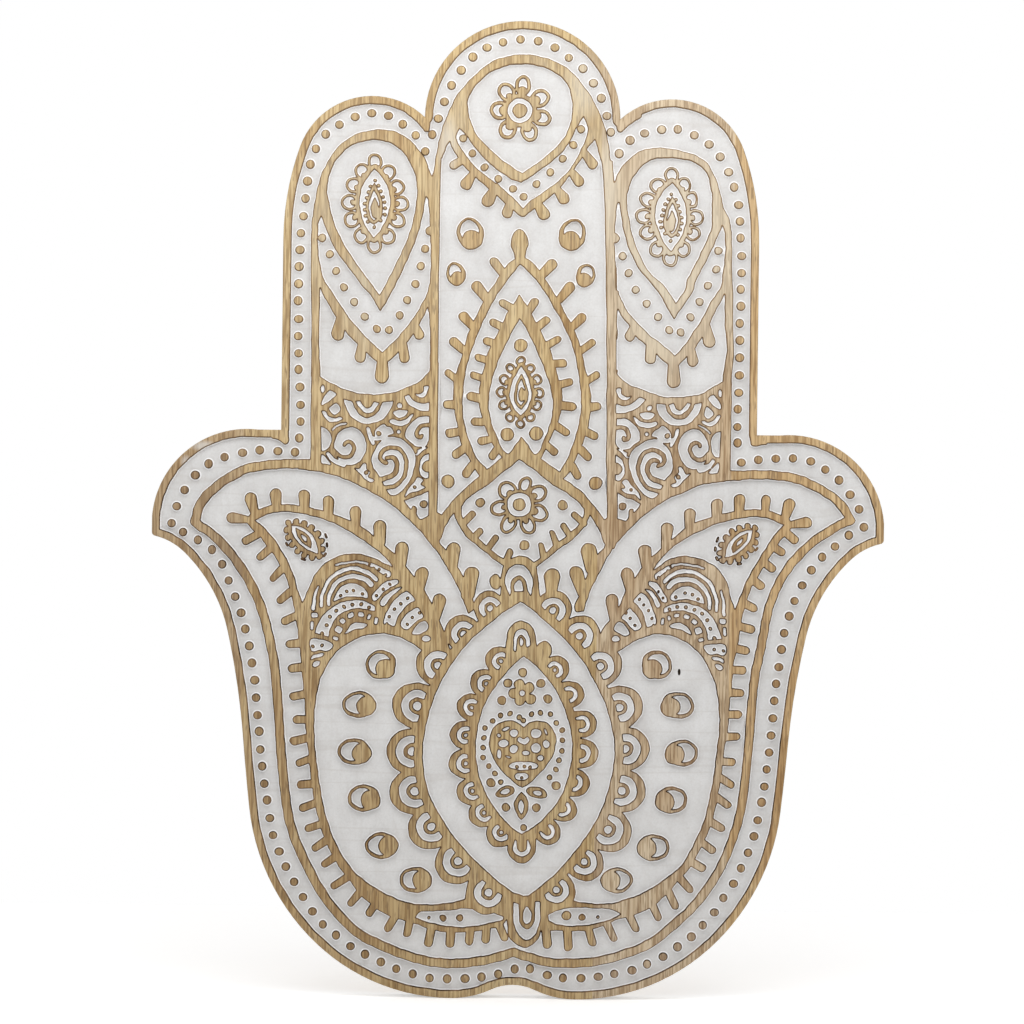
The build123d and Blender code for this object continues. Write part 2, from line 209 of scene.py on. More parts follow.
# Right half of the hand
# It repeats the left half turned over, cut by eye, so nothing lies quite where a mirror would put it.
# These pairs of places, on the left and on the right, push the turned outlines to where they belong.
right_places = [
    ((-90, 232), (88, 222.6)), ((-90, 187), (92.3, 181)), ((-105.6, 187.5), (107.2, 180.5)),
    ((-74.4, 187), (75.3, 181)), ((-90.2, 161.5), (91.5, 155.3)), ((-90.3, 212.6), (92, 206.3)),
    ((-128, 29.3), (129.6, 25.4)), ((-135, 29.4), (137, 25.4)), ((-119.6, 195), (117, 190)),
    ((-64, 197), (64.2, 191)), ((-86.4, 130.6), (95, 127.5)), ((-84.5, 95.4), (95, 95.5)),
    ((-84.5, 81), (94.8, 80)), ((-112, 107), (116, 105)), ((-98, 92.5), (106, 92.5)),
    ((-71, 92.5), (80, 93.5)), ((-61.7, 106.5), (67, 107)), ((-125.5, 120), (127.5, 120)),
    ((-125, 162), (125.5, 160)), ((-53, 120), (56, 120)), ((-128.7, 175), (129, 172)),
    ((-53, 190), (54.5, 190)), ((-77, 30), (81.5, 30)), ((-104, 38), (108, 40)), ((-92, 61), (97, 62)),
    ((-53, 30), (57, 30)), ((-125, 40), (127, 40)), ((-100, 15), (105, 13.5)), ((-120, 22), (121, 18.5)),
    ((-70, -4), (75, -4.5)), ((-58, 3), (64, 3)), ((-53, 75), (56.5, 75)), ((-125.2, 80), (127.4, 80)),
    ((-125, 60), (127.3, 60)), ((-131, -19.5), (136, -19.2)), ((-116.5, 3.8), (122.2, 5)),
    ((-175.7, -7), (177.3, -5.7)), ((-164, 5), (166, 5)), ((-131.5, 7), (136, 7.5)),
    ((-100, -2), (105.5, -1)), ((-84.7, -11), (92, -10.5)), ((-71, -24.5), (78, -24.5)),
    ((-58.5, -40), (67.5, -39)), ((-47.5, -56), (58.5, -55)), ((-40, -41), (47, -41)),
    ((-142.5, -70), (144, -72)), ((-137.5, -98.7), (138.5, -97.5)), ((-100, -28.3), (102, -27.5)),
    ((-100.5, -50.5), (103, -50)), ((-100, -77), (102, -75)), ((-62, -76), (67, -75)),
    ((-83.5, -96), (86.4, -94.2)), ((-96.5, -120.5), (99.5, -118.8)), ((-99, -149.5), (102.5, -148)),
    ((-92.5, -178), (96, -177)), ((-81.5, -206.5), (85.5, -206)), ((-60.5, -227.5), (63.5, -226.5)),
    ((-126, -150), (126.5, -150)), ((-115, -210), (115, -209)), ((-95, -236), (95, -233.5)),
    ((-72, -250), (72, -247)), ((-40, -259.5), (40, -258)), ((-15, -257), (15, -256)),
    ((-134, -75), (136, -76)), ((-131, -105), (132.5, -104)), ((-128.5, -130), (129.8, -130)),
    ((-123, -180), (123.5, -180))]
soft_gap = 40.0
place_from = np.array([a for a, b in right_places], float)
place_move = np.array([(b[0] + a[0], b[1] - a[1]) for a, b in right_places], float)


def right(outlines):
    """The same outlines on the right half of the hand."""
    if isinstance(outlines, list):
        return [right(each) for each in outlines]
    gap = ((outlines[:, None] - place_from) ** 2).sum(2)
    near = 1 / (gap + soft_gap) ** 2
    move = near @ place_move / near.sum(1)[:, None]
    return (outlines * (-1, 1) + move)[::-1]


def keep_pair(*outlines):
    """Leaves the wood inside the outlines standing on both halves."""
    for each in outlines:
        keep(each, right(each))


def clear_pair(*outlines):
    """Cuts the wood inside the outlines away on both halves."""
    for each in outlines:
        clear(each, right(each))


def dots(places, radius):
    """Round outlines of one size."""
    return [oval(x, z, radius) for x, z in places]


def pegs(rows_of_pegs):
    """Pegs, each given by its foot, its tip and the radius at foot and tip."""
    return [peg((a, b), (c, d), e, f) for a, b, c, d, e, f in rows_of_pegs]


# Border
# A raised rim of bare wood runs all round the edge, and a sunk groove for the beads lies inside it.
# Four small wedges stand in the notches between the fingers and above the thumbs.
rim_width = 4.7
clear(outline)
keep(band(outline, 2 * rim_width, closed=True))
keep(
    shape(
        [(-72, 243.4), (-67, 239.4), (-62.6, 234.9), (-60, 231.6)], [(-60, 231.6), (-57.5, 231.5)],
        [(-57.5, 231.5), (-57, 235), (-56, 239), (-55, 243)]),
    shape(
        [(57, 243), (57.4, 239), (57.7, 236.5), (58.3, 233.8), (59.8, 232.7), (61.5, 233.3), (64.5, 236),
         (68, 238.9), (73, 241.9)],
        [(73, 241.9), (73, 245)], [(73, 245), (57, 245)]),
    shape(
        [(-152, 42.6), (-147.5, 41), (-145, 39.6), (-143.4, 38.7), (-142, 39.4), (-141.3, 41.5),
         (-141.3, 46)],
        [(-141.3, 46), (-152, 46)]),
    shape(
        [(141.9, 47), (141.9, 44), (142.5, 41.8), (144.3, 40.9), (147, 41.1), (152, 41.9)],
        [(152, 41.9), (152, 46)]))

# Middle finger
# A raised crown holds a sunk drop with a flower in it, and below the drop runs a V-shaped strip of dots.
# Short pegs stand under the V, and two plain uprights divide this finger from its neighbours.
crown = shape([
    (-54, 174), (-54, 190), (-54, 206), (-52, 221), (-50, 230.5), (-47.7, 238), (-44.5, 245.6),
    (-40.7, 253.7), (-35.3, 260.2), (-29.3, 266.7), (-20.6, 274), (-11.9, 277.6), (0, 279.5),
    (11.9, 277.9), (21.7, 274.3), (30.4, 268.4), (36.9, 260.8), (42.8, 252.6), (46.6, 244.5),
    (49.9, 236.9), (52.6, 226), (54.2, 215), (55.9, 204), (56, 190), (56, 174)])
finger_field = shape(
    [(-50, -20), (-50, 60), (-50.3, 130), (-50, 206), (-48.8, 216), (-46.9, 221.7), (-44.5, 226)],
    [(-44.5, 226), (-41.8, 219.6), (-38, 214), (-31.5, 206.5), (-20, 196.8), (-11.9, 189.7),
     (-3.3, 182.7), (1, 179.8), (5.4, 183.2), (17.4, 192.4), (22, 196.5), (28.2, 204.5), (35.8, 215.2),
     (40.7, 223.5), (44.5, 228)],
    [(44.5, 228), (46.6, 221.7), (48.3, 215.2), (49.9, 206.5), (51.5, 175), (53.5, 90), (54.3, 20),
     (55, -20)])
dotted_v = shape(
    [(-38.5, 234), (-40.9, 228.2), (-37.4, 221.2), (-31.5, 213), (-23.9, 206), (-15.2, 199.5),
     (-7.6, 193.5), (-3.3, 189.2), (0.9, 185)],
    [(0.9, 185), (6.5, 190.3), (14.1, 195.7), (22.8, 202.2), (30.4, 210.9), (35.8, 220.6), (39, 228.2),
     (40.3, 234), (37.6, 242)],
    [(37.6, 242), (34.5, 237.5), (31.5, 231.5), (28.2, 225), (22.8, 218.5), (14.1, 210.9), (5.4, 204.9),
     (-0.2, 200.9)],
    [(-0.2, 200.9), (-5.4, 202.7), (-11.9, 206.5), (-20.6, 213), (-30.4, 223.9), (-34, 229),
     (-38.5, 234)])
middle_drop = shape([
    (0, 206.3), (-8.7, 212), (-16.3, 217.9), (-26, 227.2), (-31.5, 236.4), (-34, 247.8), (-33.1, 253.2),
    (-30.4, 258.6), (-24.4, 265.1), (-17.4, 269.8), (-9.8, 272.7), (0, 273.7), (8.7, 272.9), (17.4, 270),
    (24.4, 265.1), (28.7, 258.6), (30.6, 248.8), (30.2, 241.3), (27.7, 232.6), (22.8, 225), (15.2, 217.4),
    (6.5, 210.9), (0, 206.3)])
keep(crown)
divider = shape([(-50.2, 215), (-50.2, 60), (-49.6, -20)], [(-49.6, -20), (-54.3, -20)],
                [(-54.3, -20), (-54.6, 60), (-55, 190), (-54, 206), (-53, 215)])
keep(divider)
keep(shape([(50, 215), (51.5, 175), (53.5, 90), (54.3, 20), (55, -20)], [(55, -20), (60.5, -20)],
           [(60.5, -20), (59.5, 60), (57.6, 170), (55.5, 215)]))
clear(finger_field, dotted_v, middle_drop)
keep(dots(
    [(-36.5, 227.5), (-30.5, 218.5), (-23, 210), (-14.5, 203), (-5.5, 197), (1.2, 192.3), (9, 200),
     (17.5, 207.5), (25, 215.7), (31.5, 224.3), (36, 234)],
    2.3))
keep(pegs([
    (-36, 215, -42, 211, 2.2, 2.6), (-30, 206, -34.2, 199.5, 2.0, 3.5),
    (-16, 198, -20.6, 189.7, 2.2, 3.9), (-7, 189, -8.7, 182.1, 2.4, 3.2),
    (10, 187.5, 13.6, 181.8, 2.6, 3.7), (21.5, 197, 25.8, 191.4, 2.2, 3.5),
    (31, 207, 34.9, 202.2, 2.2, 3.3), (38.5, 219, 43.4, 212.5, 2.4, 2.9)]))


def flower(x, z, body, moat, heart, petal_list):
    """A flower of hollow petals, most with a boss at their root, round a heart in a moat."""
    root_share = 0.2
    for px, pz, along, across, rim, boss in petal_list:
        turn = np.degrees(np.arctan2(pz - z, px - x)) - 90
        keep(oval(px, pz, across, along, turn))
    for px, pz, along, across, rim, boss in petal_list:
        turn = np.degrees(np.arctan2(pz - z, px - x)) - 90
        clear(oval(px, pz, across - rim, along - rim, turn))
    keep(oval(x, z, body))
    for px, pz, along, across, rim, boss in petal_list:
        if boss:
            keep(oval(px + (x - px) * root_share, pz + (z - pz) * root_share, boss))
    clear(oval(x, z, moat))
    keep(oval(x, z, heart))


flower(-1.7, 245, 10.2, 7.7, 4.4, [
    (0, 260.5, 6.2, 4.8, 1.9, 2.4), (10.5, 252.7, 6.3, 5.4, 1.9, 2.8), (11.5, 240.8, 6.2, 5.0, 1.9, 2.6),
    (4.2, 232, 6.0, 5.1, 1.9, 2.6), (-9, 233.5, 6.2, 5.4, 1.9, 2.7), (-14, 245, 6.2, 5.6, 1.9, 2.9),
    (-10, 256.3, 6.0, 5.2, 1.8, 1.8)])

# Moons on the middle finger
# Two raised rings on each side of the almond's tip, each with a round boss low inside it.
# Ring and boss leave a crescent of sunk ground between them.
moon_tilt = 15
for side in (-1, 1):
    keep(oval(side * 31.3, 169.2, 8.1, 9.8, -side * moon_tilt))
    clear(oval(side * 31.7, 170.4, 5.8, 7.4, -side * moon_tilt))
    keep(oval(side * 30.3, 165.8, 5.6))
    keep(oval(side * 39.8, 144.3, 5.7, 7.2, -side * moon_tilt))
    clear(oval(side * 40.3, 145.2, 3.9, 5.0, -side * moon_tilt))
    keep(oval(side * 38.8, 142, 4.0))

# Almond and leaf
# A raised almond with pegs along its edge fills the lower part of the finger, and a leaf stands inside it.
# The leaf has pegs of its own and three round bosses in its sunk middle.
almond_outer = shape(
    [(0, 156), (-8, 150.5), (-15, 140), (-21.5, 130), (-31, 110), (-34, 100), (-36.8, 90), (-40, 80),
     (-40.5, 70), (-39.5, 60), (-37.5, 50), (-35.5, 40), (-31, 32), (-26, 24), (-20, 14)],
    [(-20, 14), (0, 28), (20, 14)],
    [(20, 14), (30, 22), (34, 30), (38.5, 40), (42, 50), (43.5, 60), (43.8, 70), (42, 80), (39.5, 90),
     (37, 100), (33.5, 110), (28, 120), (22.5, 130), (16, 140), (8.5, 150.5), (0, 156)])
almond_inner = shape(
    [(-0.3, 151), (-5, 145.5), (-10, 138.5), (-15, 131), (-20, 121.5), (-25, 110.5), (-30, 97), (-33, 86),
     (-34.5, 75), (-35, 65), (-34.5, 57), (-32.5, 48), (-29, 38), (-25, 30.5), (-19.5, 24.5)],
    [(-19.5, 24.5), (-9, 33), (0, 39), (12, 32.5), (25, 23.5)],
    [(25, 23.5), (29.5, 31), (33, 40), (36, 50), (38, 62), (37.5, 75), (35.5, 88), (33, 99), (30, 106.5),
     (25, 117), (20, 125.5), (15, 134), (10, 140.5), (5, 146), (-0.3, 151)])
leaf_outer = shape(
    [(-0.7, 132.3), (-3, 128), (-8.3, 120), (-12, 111.5), (-18, 100), (-20.3, 94), (-21.5, 88),
     (-24.3, 76), (-24.5, 68), (-23.8, 60), (-20.5, 50), (-17, 42), (-13, 35.5), (-9, 31)],
    [(-9, 31), (1, 34), (13, 30)],
    [(13, 30), (17.5, 40), (20.5, 47), (23, 53), (25.5, 60), (26.3, 67), (26, 73), (23.5, 82), (21.5, 88),
     (19, 97), (14, 107), (10, 114.5), (6.5, 121), (2, 128), (-0.7, 132.3)])
leaf_inner = shape(
    [(-0.5, 117.5), (-3, 113), (-6, 107.5), (-9, 101), (-12, 95), (-14.5, 88), (-17, 80), (-18.5, 72),
     (-19, 64), (-18, 57), (-16, 50), (-13, 43), (-10, 37), (-7, 34.3), (-4.5, 36), (-2, 40), (1.5, 45)],
    [(1.5, 45), (5, 40.5), (8, 36), (10.5, 34.2), (12.8, 36.5), (15, 42), (17.8, 49), (19.8, 56),
     (20.8, 64), (20, 71), (18, 79), (15.5, 86), (13, 92), (10, 99), (7, 105), (4, 111), (-0.5, 117.5)])
keep(almond_outer)
keep(pegs([
    (-11, 145, -16.3, 151.8, 2.4, 2.9), (-21, 129.5, -27, 137, 2.6, 3.2),
    (-29, 112, -34.8, 118.3, 2.4, 3.0), (-35, 98, -40.8, 103, 2.4, 2.7), (-39, 80, -44, 83.5, 2.0, 2.1),
    (-39.5, 64, -44.3, 64.3, 2.9, 2.6), (-37, 47.5, -42.5, 46.6, 2.6, 2.7),
    (-34, 37, -38.7, 33.5, 2.6, 2.5), (-28.5, 27, -32.3, 21.7, 2.6, 2.5), (12, 143.5, 19, 151, 2.4, 3.2),
    (24, 129.5, 30, 137, 2.4, 3.2), (32.5, 113, 37.8, 118.3, 2.4, 2.8), (37.5, 98, 44.3, 103.3, 2.2, 2.1),
    (41.5, 79.5, 47.3, 83.5, 2.2, 2.1), (43, 63.5, 47.8, 64, 2.9, 2.5), (41.5, 48, 46.3, 46, 2.4, 2.4),
    (38.5, 37, 42.5, 33, 2.6, 2.4), (33, 27, 36, 21.5, 2.6, 2.4)]))
keep(peg((-0.8, 156), (-1, 165.5), 3.4, 5.0), oval(-1, 164, 5.2, 8))
keep(oval(-43.2, 17, 4.0), oval(47.3, 17, 4.0))
clear(almond_inner)
keep(leaf_outer)
keep(pegs([
    (-4, 123, -11, 127, 2.4, 2.3), (-10, 111.5, -16.5, 115, 2.4, 2.3), (-16, 102, -20.3, 103.5, 2.4, 2.4),
    (-19.5, 91.3, -25.5, 93.3, 2.2, 2.2), (-23, 80.5, -28.3, 82.5, 2.2, 2.2),
    (-23.5, 68, -30, 69.5, 2.6, 2.6), (-22.5, 53.5, -27, 54, 2.4, 2.5), (-17.5, 43, -23, 42, 2.2, 2.4),
    (-13, 37.5, -16.2, 32.8, 2.2, 2.3), (4.5, 121, 8.8, 127.6, 2.2, 2.5),
    (11.5, 113, 16, 116.6, 2.4, 2.3), (17.5, 101.5, 23, 105, 2.2, 2.1), (21, 90, 26.7, 90.3, 2.3, 2.4),
    (24.5, 77.3, 30.8, 78.7, 2.4, 2.2), (25.5, 64.3, 32.3, 63.8, 2.6, 2.7),
    (22.5, 52, 29, 47.8, 2.4, 2.3), (17, 40, 21.6, 36, 2.2, 2.4)]))
clear(leaf_inner)
keep(oval(0.5, 101, 4.0), oval(-7.2, 46.2, 4.1), oval(10.5, 47, 4.2))


def mandorla(x, z, ground, band_width, petal_list, petal_rim, boss, stand=keep, cut=clear):
    """A pointed oval edged with small hollow petals, each with a boss at its root."""
    root_share, boss_radius = boss
    for px, pz, along, across in petal_list:
        turn = np.degrees(np.arctan2(pz - z, px - x)) - 90
        stand(oval(px, pz, across, along, turn))
    for px, pz, along, across in petal_list:
        turn = np.degrees(np.arctan2(pz - z, px - x)) - 90
        cut(oval(px, pz, across - petal_rim, along - petal_rim, turn))
    stand(band(ground, 2 * band_width, closed=True))
    for px, pz, along, across in petal_list:
        stand(oval(px + (x - px) * root_share, pz + (z - pz) * root_share, boss_radius))
    cut(ground)


# Eye under the almond
# A raised eye with a sunk white, short pegs for its lower lashes and a flower of seven petals for its iris.
# The bands of its upper lid run on outwards and down to the strips beside the palm.
eye_white = shape([
    (0, 31), (-5, 26.4), (-10, 21.9), (-14.6, 18.4), (-21.8, 13.3), (-27.5, 9.4), (-32.6, 5), (-34.9, 0),
    (-33.8, -5), (-31, -10), (-26, -15.7), (-20, -21.5), (-15, -26), (-8, -30.5), (1, -34), (11, -31.5),
    (16, -27.5), (22, -21.5), (29, -16.5), (35, -11), (39, -6), (40.5, -1), (38.7, 3.3), (33.9, 7.8),
    (28, 11), (21.9, 14.9), (17, 18.8), (9.9, 24.7), (0, 31)])
keep(
    band(
        smooth([
            (0, 33.8), (-10, 27), (-20, 20), (-29.5, 12.2), (-36.3, 5.4), (-42, -1.4), (-46.6, -8.8),
            (-49.6, -17)]),
        5.2),
    band(smooth([(-18, 16.5), (-24, 12.8), (-30, 8.8), (-35, 4.5)]), 5))
keep(band(
    smooth([
        (0, 33.8), (10, 27.2), (20, 20), (28, 15.4), (35, 10.8), (41.5, 4.4), (48.3, -3.8), (52, -10),
        (55, -18)]),
    7, end_width=5))
keep(band(
    smooth([
        (-36.5, 4), (-37, -2), (-34.5, -9), (-29.5, -15.7), (-22.5, -21.5), (-14.5, -27.7), (-8, -32.5)]),
    4.0))
keep(band(smooth([(42, 0), (41, -5), (37, -11), (31, -17), (24, -22), (17, -27.7), (10, -33.5)]), 4.2))
clear(eye_white)
keep(pegs([
    (-33, -8, -28, -2.7, 2.0, 1.9), (-27, -17.5, -23.3, -13.3, 2.0, 1.9),
    (-17.5, -23, -13.8, -17.6, 1.8, 2.0), (-7, -31, -4.6, -25.8, 1.8, 2.0),
    (40.5, -8, 34.3, -2.6, 2.0, 1.7), (31.5, -15, 27.7, -9.2, 2.0, 1.7), (24, -21, 21, -14, 2.0, 1.7),
    (16, -28, 14.2, -21.5, 2.0, 1.6)]))
keep(oval(-23.3, 4.3, 2.8), oval(27.2, 3.2, 3.0), oval(4, -21.7, 3.0))
flower(
    0.6, 3.2, 9.3, 7.5, 3.9,
    [(4.2, 15.5, 5.2, 4.0, 1.5, 0), (12, 10.2, 6.0, 5.2, 1.6, 1.8), (12.3, -1.7, 6.4, 5.4, 1.6, 2.4),
     (6, -9, 6.2, 4.8, 1.6, 1.8), (-5.8, -8.6, 6.2, 4.8, 1.6, 1.8), (-11.2, 1, 6.0, 5.0, 1.6, 1.6),
     (-6.6, 11.6, 6.4, 5.6, 1.6, 2.0)])

# Mandorla in the leaf
# A small pointed oval edged with twelve hollow petals, standing in the sunk middle of the leaf.
# A hollow leaf with one boss fills it.
mandorla(
    0.7, 72,
    shape(
        [(1, 88.5), (-3, 82), (-5.6, 75), (-6, 69), (-3.5, 62.5), (1, 57.5)],
        [(1, 57.5), (5, 62.5), (7.4, 69), (6.8, 76), (4.3, 83), (1, 88.5)]),
    2.0,
    [(0.5, 91.5, 2.9, 3.1), (-5.7, 87, 3.0, 3.0), (-9.3, 79.8, 3.4, 3.3), (-11, 72.3, 3.4, 3.4),
     (-9.6, 64.3, 3.4, 3.4), (-5.7, 56.8, 3.0, 3.0), (0.6, 52.8, 2.9, 3.0), (6.6, 87, 3.0, 3.0),
     (10.4, 80, 3.4, 3.3), (12, 72, 3.4, 3.4), (10.8, 64.3, 3.4, 3.4), (7, 57, 3.0, 3.0)],
    1.2, (0.16, 1.3))
keep(shape(
    [(1, 83.5), (-1.6, 78), (-3.2, 71), (-2.2, 65), (1, 61.5)],
    [(1, 61.5), (4.6, 66), (5.2, 72), (3.6, 78.5), (1, 83.5)]))
clear(shape(
    [(1, 80.5), (-0.7, 76.5), (-1.7, 71), (-1, 66.5), (1, 64)],
    [(1, 64), (3.3, 67), (3.8, 72), (2.6, 77), (1, 80.5)]))
keep(blob((1.2, 75.5), (-0.6, 71), (0.8, 66.8), (3.2, 67.5), (4, 71)))

# Side fingers
# Each side finger is a raised field with a sunk drop, a V-shaped strip of dots and a foot with five pegs.
# A mandorla of twelve petals stands in the drop, with a ring of tiny dots round the leaf inside it.
keep_pair(shape(
    [(-128.8, 162), (-128.5, 175), (-126.8, 187.7), (-125, 197), (-122.7, 205.1), (-119.2, 212),
     (-114, 220.2), (-107, 226.6), (-99, 230.4), (-89.7, 232.3), (-80.4, 231.8), (-73.4, 229),
     (-67.6, 224.6), (-63.6, 220.2), (-60, 215.5), (-57.2, 208.6), (-54.9, 203)],
    [(-54.9, 203), (-54.6, 140), (-54.6, 65)], [(-54.6, 65), (-100, 55), (-127.6, 65)],
    [(-127.6, 65), (-127.8, 74), (-128, 110), (-128.8, 162)]))
finger_drop = shape([
    (-86.4, 130.6), (-92, 137.8), (-99, 147), (-104.7, 155.2), (-110.5, 164.5), (-115.2, 175),
    (-118, 185.4), (-119.6, 194.7), (-118.8, 202), (-115.2, 212), (-108.2, 220.2), (-100, 224.6),
    (-90.8, 226.2), (-82.7, 225), (-75.7, 221.3), (-69.9, 214.4), (-65.9, 206.3), (-64.1, 197),
    (-64.7, 186.5), (-67, 173.8), (-71, 162.2), (-76.9, 149.4), (-81.5, 140), (-86.4, 130.6)])
finger_v = shape(
    [(-123, 179.6), (-121.6, 176), (-116.3, 163.3), (-111.7, 155.2), (-105.9, 148.2), (-100, 140),
     (-93, 132), (-89, 126.2), (-85.8, 121)],
    [(-85.8, 121), (-81.5, 128.5), (-75.7, 140), (-69.9, 152.9), (-64.7, 165.7), (-61.2, 178.4),
     (-58.9, 191.8)],
    [(-58.9, 191.8), (-57.2, 188.9), (-56.2, 178.4), (-55.6, 166.8), (-55.3, 159.6), (-55.2, 146.9),
     (-56.4, 135), (-59.3, 127.8), (-64.8, 117.9), (-71.1, 109.7), (-77.5, 102.4), (-84.5, 95.4)],
    [(-84.5, 95.4), (-92, 102.4), (-100.1, 110.6), (-107.4, 119.7), (-115.5, 131.9), (-121, 140),
     (-123.9, 151.7), (-125, 162.2), (-124.7, 173.8), (-123, 179.6)])
finger_foot = shape(
    [(-123.3, 136.5), (-120, 128.7), (-115, 120.6), (-106.5, 107.9), (-100.6, 101.5), (-94.7, 96.1),
     (-87.4, 90), (-83.8, 88.8), (-79.7, 91.1), (-74.8, 96.1), (-69.3, 102.4), (-65.7, 107), (-60.7, 116),
     (-56.6, 124.8)],
    [(-56.6, 124.8), (-55.2, 110), (-55.2, 84)],
    [(-55.2, 84), (-61, 78.5), (-69, 74.3), (-78, 71), (-88, 69.7), (-98, 70.2), (-107, 72.5), (-115, 76),
     (-122.5, 80.3)],
    [(-122.5, 80.3), (-123.5, 105), (-123.3, 136.5)])
clear_pair(finger_drop, finger_v, finger_foot)
clear(band([(59.8, 160), (59.8, 136)], 1.8), band([(60.9, 118), (60.9, 87.5)], 2.6))
keep_pair(*pegs([
    (-109.5, 117, -112, 106.6, 3.0, 3.9), (-97, 100.5, -98, 92.6, 2.7, 3.4),
    (-84.2, 92, -84.5, 81, 3.0, 4.2), (-72.3, 101, -71, 92.6, 2.6, 3.1),
    (-64.5, 112, -61.7, 106.6, 2.4, 2.8)]))
keep_pair(oval(-56.3, 170.5, 2.6))
keep(dots(
    [(-122.2, 165.5), (-117.5, 155.5), (-113.5, 145.5), (-108.5, 135.5), (-102, 126.5), (-95.5, 117.5),
     (-88, 110), (-80.5, 109.5), (-74, 118.5), (-69.5, 128), (-64.5, 138), (-61.5, 149), (-59, 159.5)],
    2.35))
keep(dots(
    [(121, 160.5), (120, 149), (115, 139), (110, 129), (104.5, 119.5), (98.5, 110), (91.5, 111.5),
     (84.5, 119.5), (77.5, 127.5), (70.5, 136), (66, 146), (62.3, 156.5)],
    2.35))
finger_ground = shape(
    [(-90.5, 208.5), (-95, 203), (-98.5, 196), (-99.6, 188), (-98.4, 180), (-95.5, 172.5),
     (-90.5, 165.5)],
    [(-90.5, 165.5), (-85.5, 172), (-82, 180), (-80.5, 188), (-81.8, 196), (-85.5, 203),
     (-90.5, 208.5)])
finger_petals = [
    (-90.3, 212.6, 5.2, 4.5), (-98, 206.5, 5.2, 4.7), (-103, 198, 5.2, 4.8),
    (-105.6, 187.5, 5.4, 5.0), (-104, 177, 5.2, 4.9), (-98, 167.3, 5.2, 4.7),
    (-90.2, 161.5, 5.2, 4.7), (-82, 167, 5.2, 4.7), (-76.3, 177, 5.2, 4.8), (-74.4, 187, 5.4, 4.9),
    (-76.8, 197, 5.2, 4.7), (-82.2, 206, 5.2, 4.7)]
mandorla(-90.2, 187, finger_ground, 2.6, finger_petals, 1.35, (0.14, 1.7), keep_pair, clear_pair)
keep_pair(shape(
    [(-90.5, 199.5), (-94, 192), (-95.4, 184), (-94, 177.5), (-90.3, 174)],
    [(-90.3, 174), (-86.6, 177.5), (-85.2, 184), (-86.8, 192), (-90.5, 199.5)]))
keep_pair(*dots(
    [(-90.3, 201), (-88, 198), (-86.3, 194.8), (-85, 191.2), (-84.2, 187.8), (-83.6, 184),
     (-84, 180.2), (-86.3, 176.4), (-92.8, 197.5), (-94.2, 194), (-95.3, 190.4), (-96.2, 186.8),
     (-96.4, 183), (-95.8, 179.3), (-94.2, 175.8), (-90.3, 172.3)],
    1.0))
clear_pair(shape(
    [(-90.5, 195.5), (-93, 190), (-94, 184), (-92.8, 179), (-90.4, 176.3)],
    [(-90.4, 176.3), (-88, 179), (-86.7, 184), (-88, 190), (-90.5, 195.5)]))
keep_pair(shape(
    [(-90.2, 191), (-92.3, 185), (-91.6, 179.5), (-89.6, 177.8)],
    [(-89.6, 177.8), (-87.8, 180), (-87.4, 184.5), (-90.2, 191)]))

# Arch strip
# A broad strip of standing wood under each side finger, arched along the top of the wing below it.
# It is left whole here, and the scrolls are cut into it next.
keep_pair(shape(
    [(-127.7, 90), (-127.8, 74), (-127.8, 29.3)], [(-127.8, 29.3), (-135, 29.4)],
    [(-135, 29.4), (-135, 23.5)],
    [(-135, 23.5), (-122, 22), (-110, 19), (-100, 15), (-90, 10), (-80, 4), (-70, -4), (-60, -13.5),
     (-54.5, -19.3)],
    [(-54.5, -19.3), (-50, -15), (-50, 90)],
    [(-50, 90), (-61, 78.5), (-69, 74.3), (-78, 71), (-88, 69.7), (-98, 70.2), (-107, 72.5), (-115, 76),
     (-122.5, 80.3), (-127.7, 90)]))

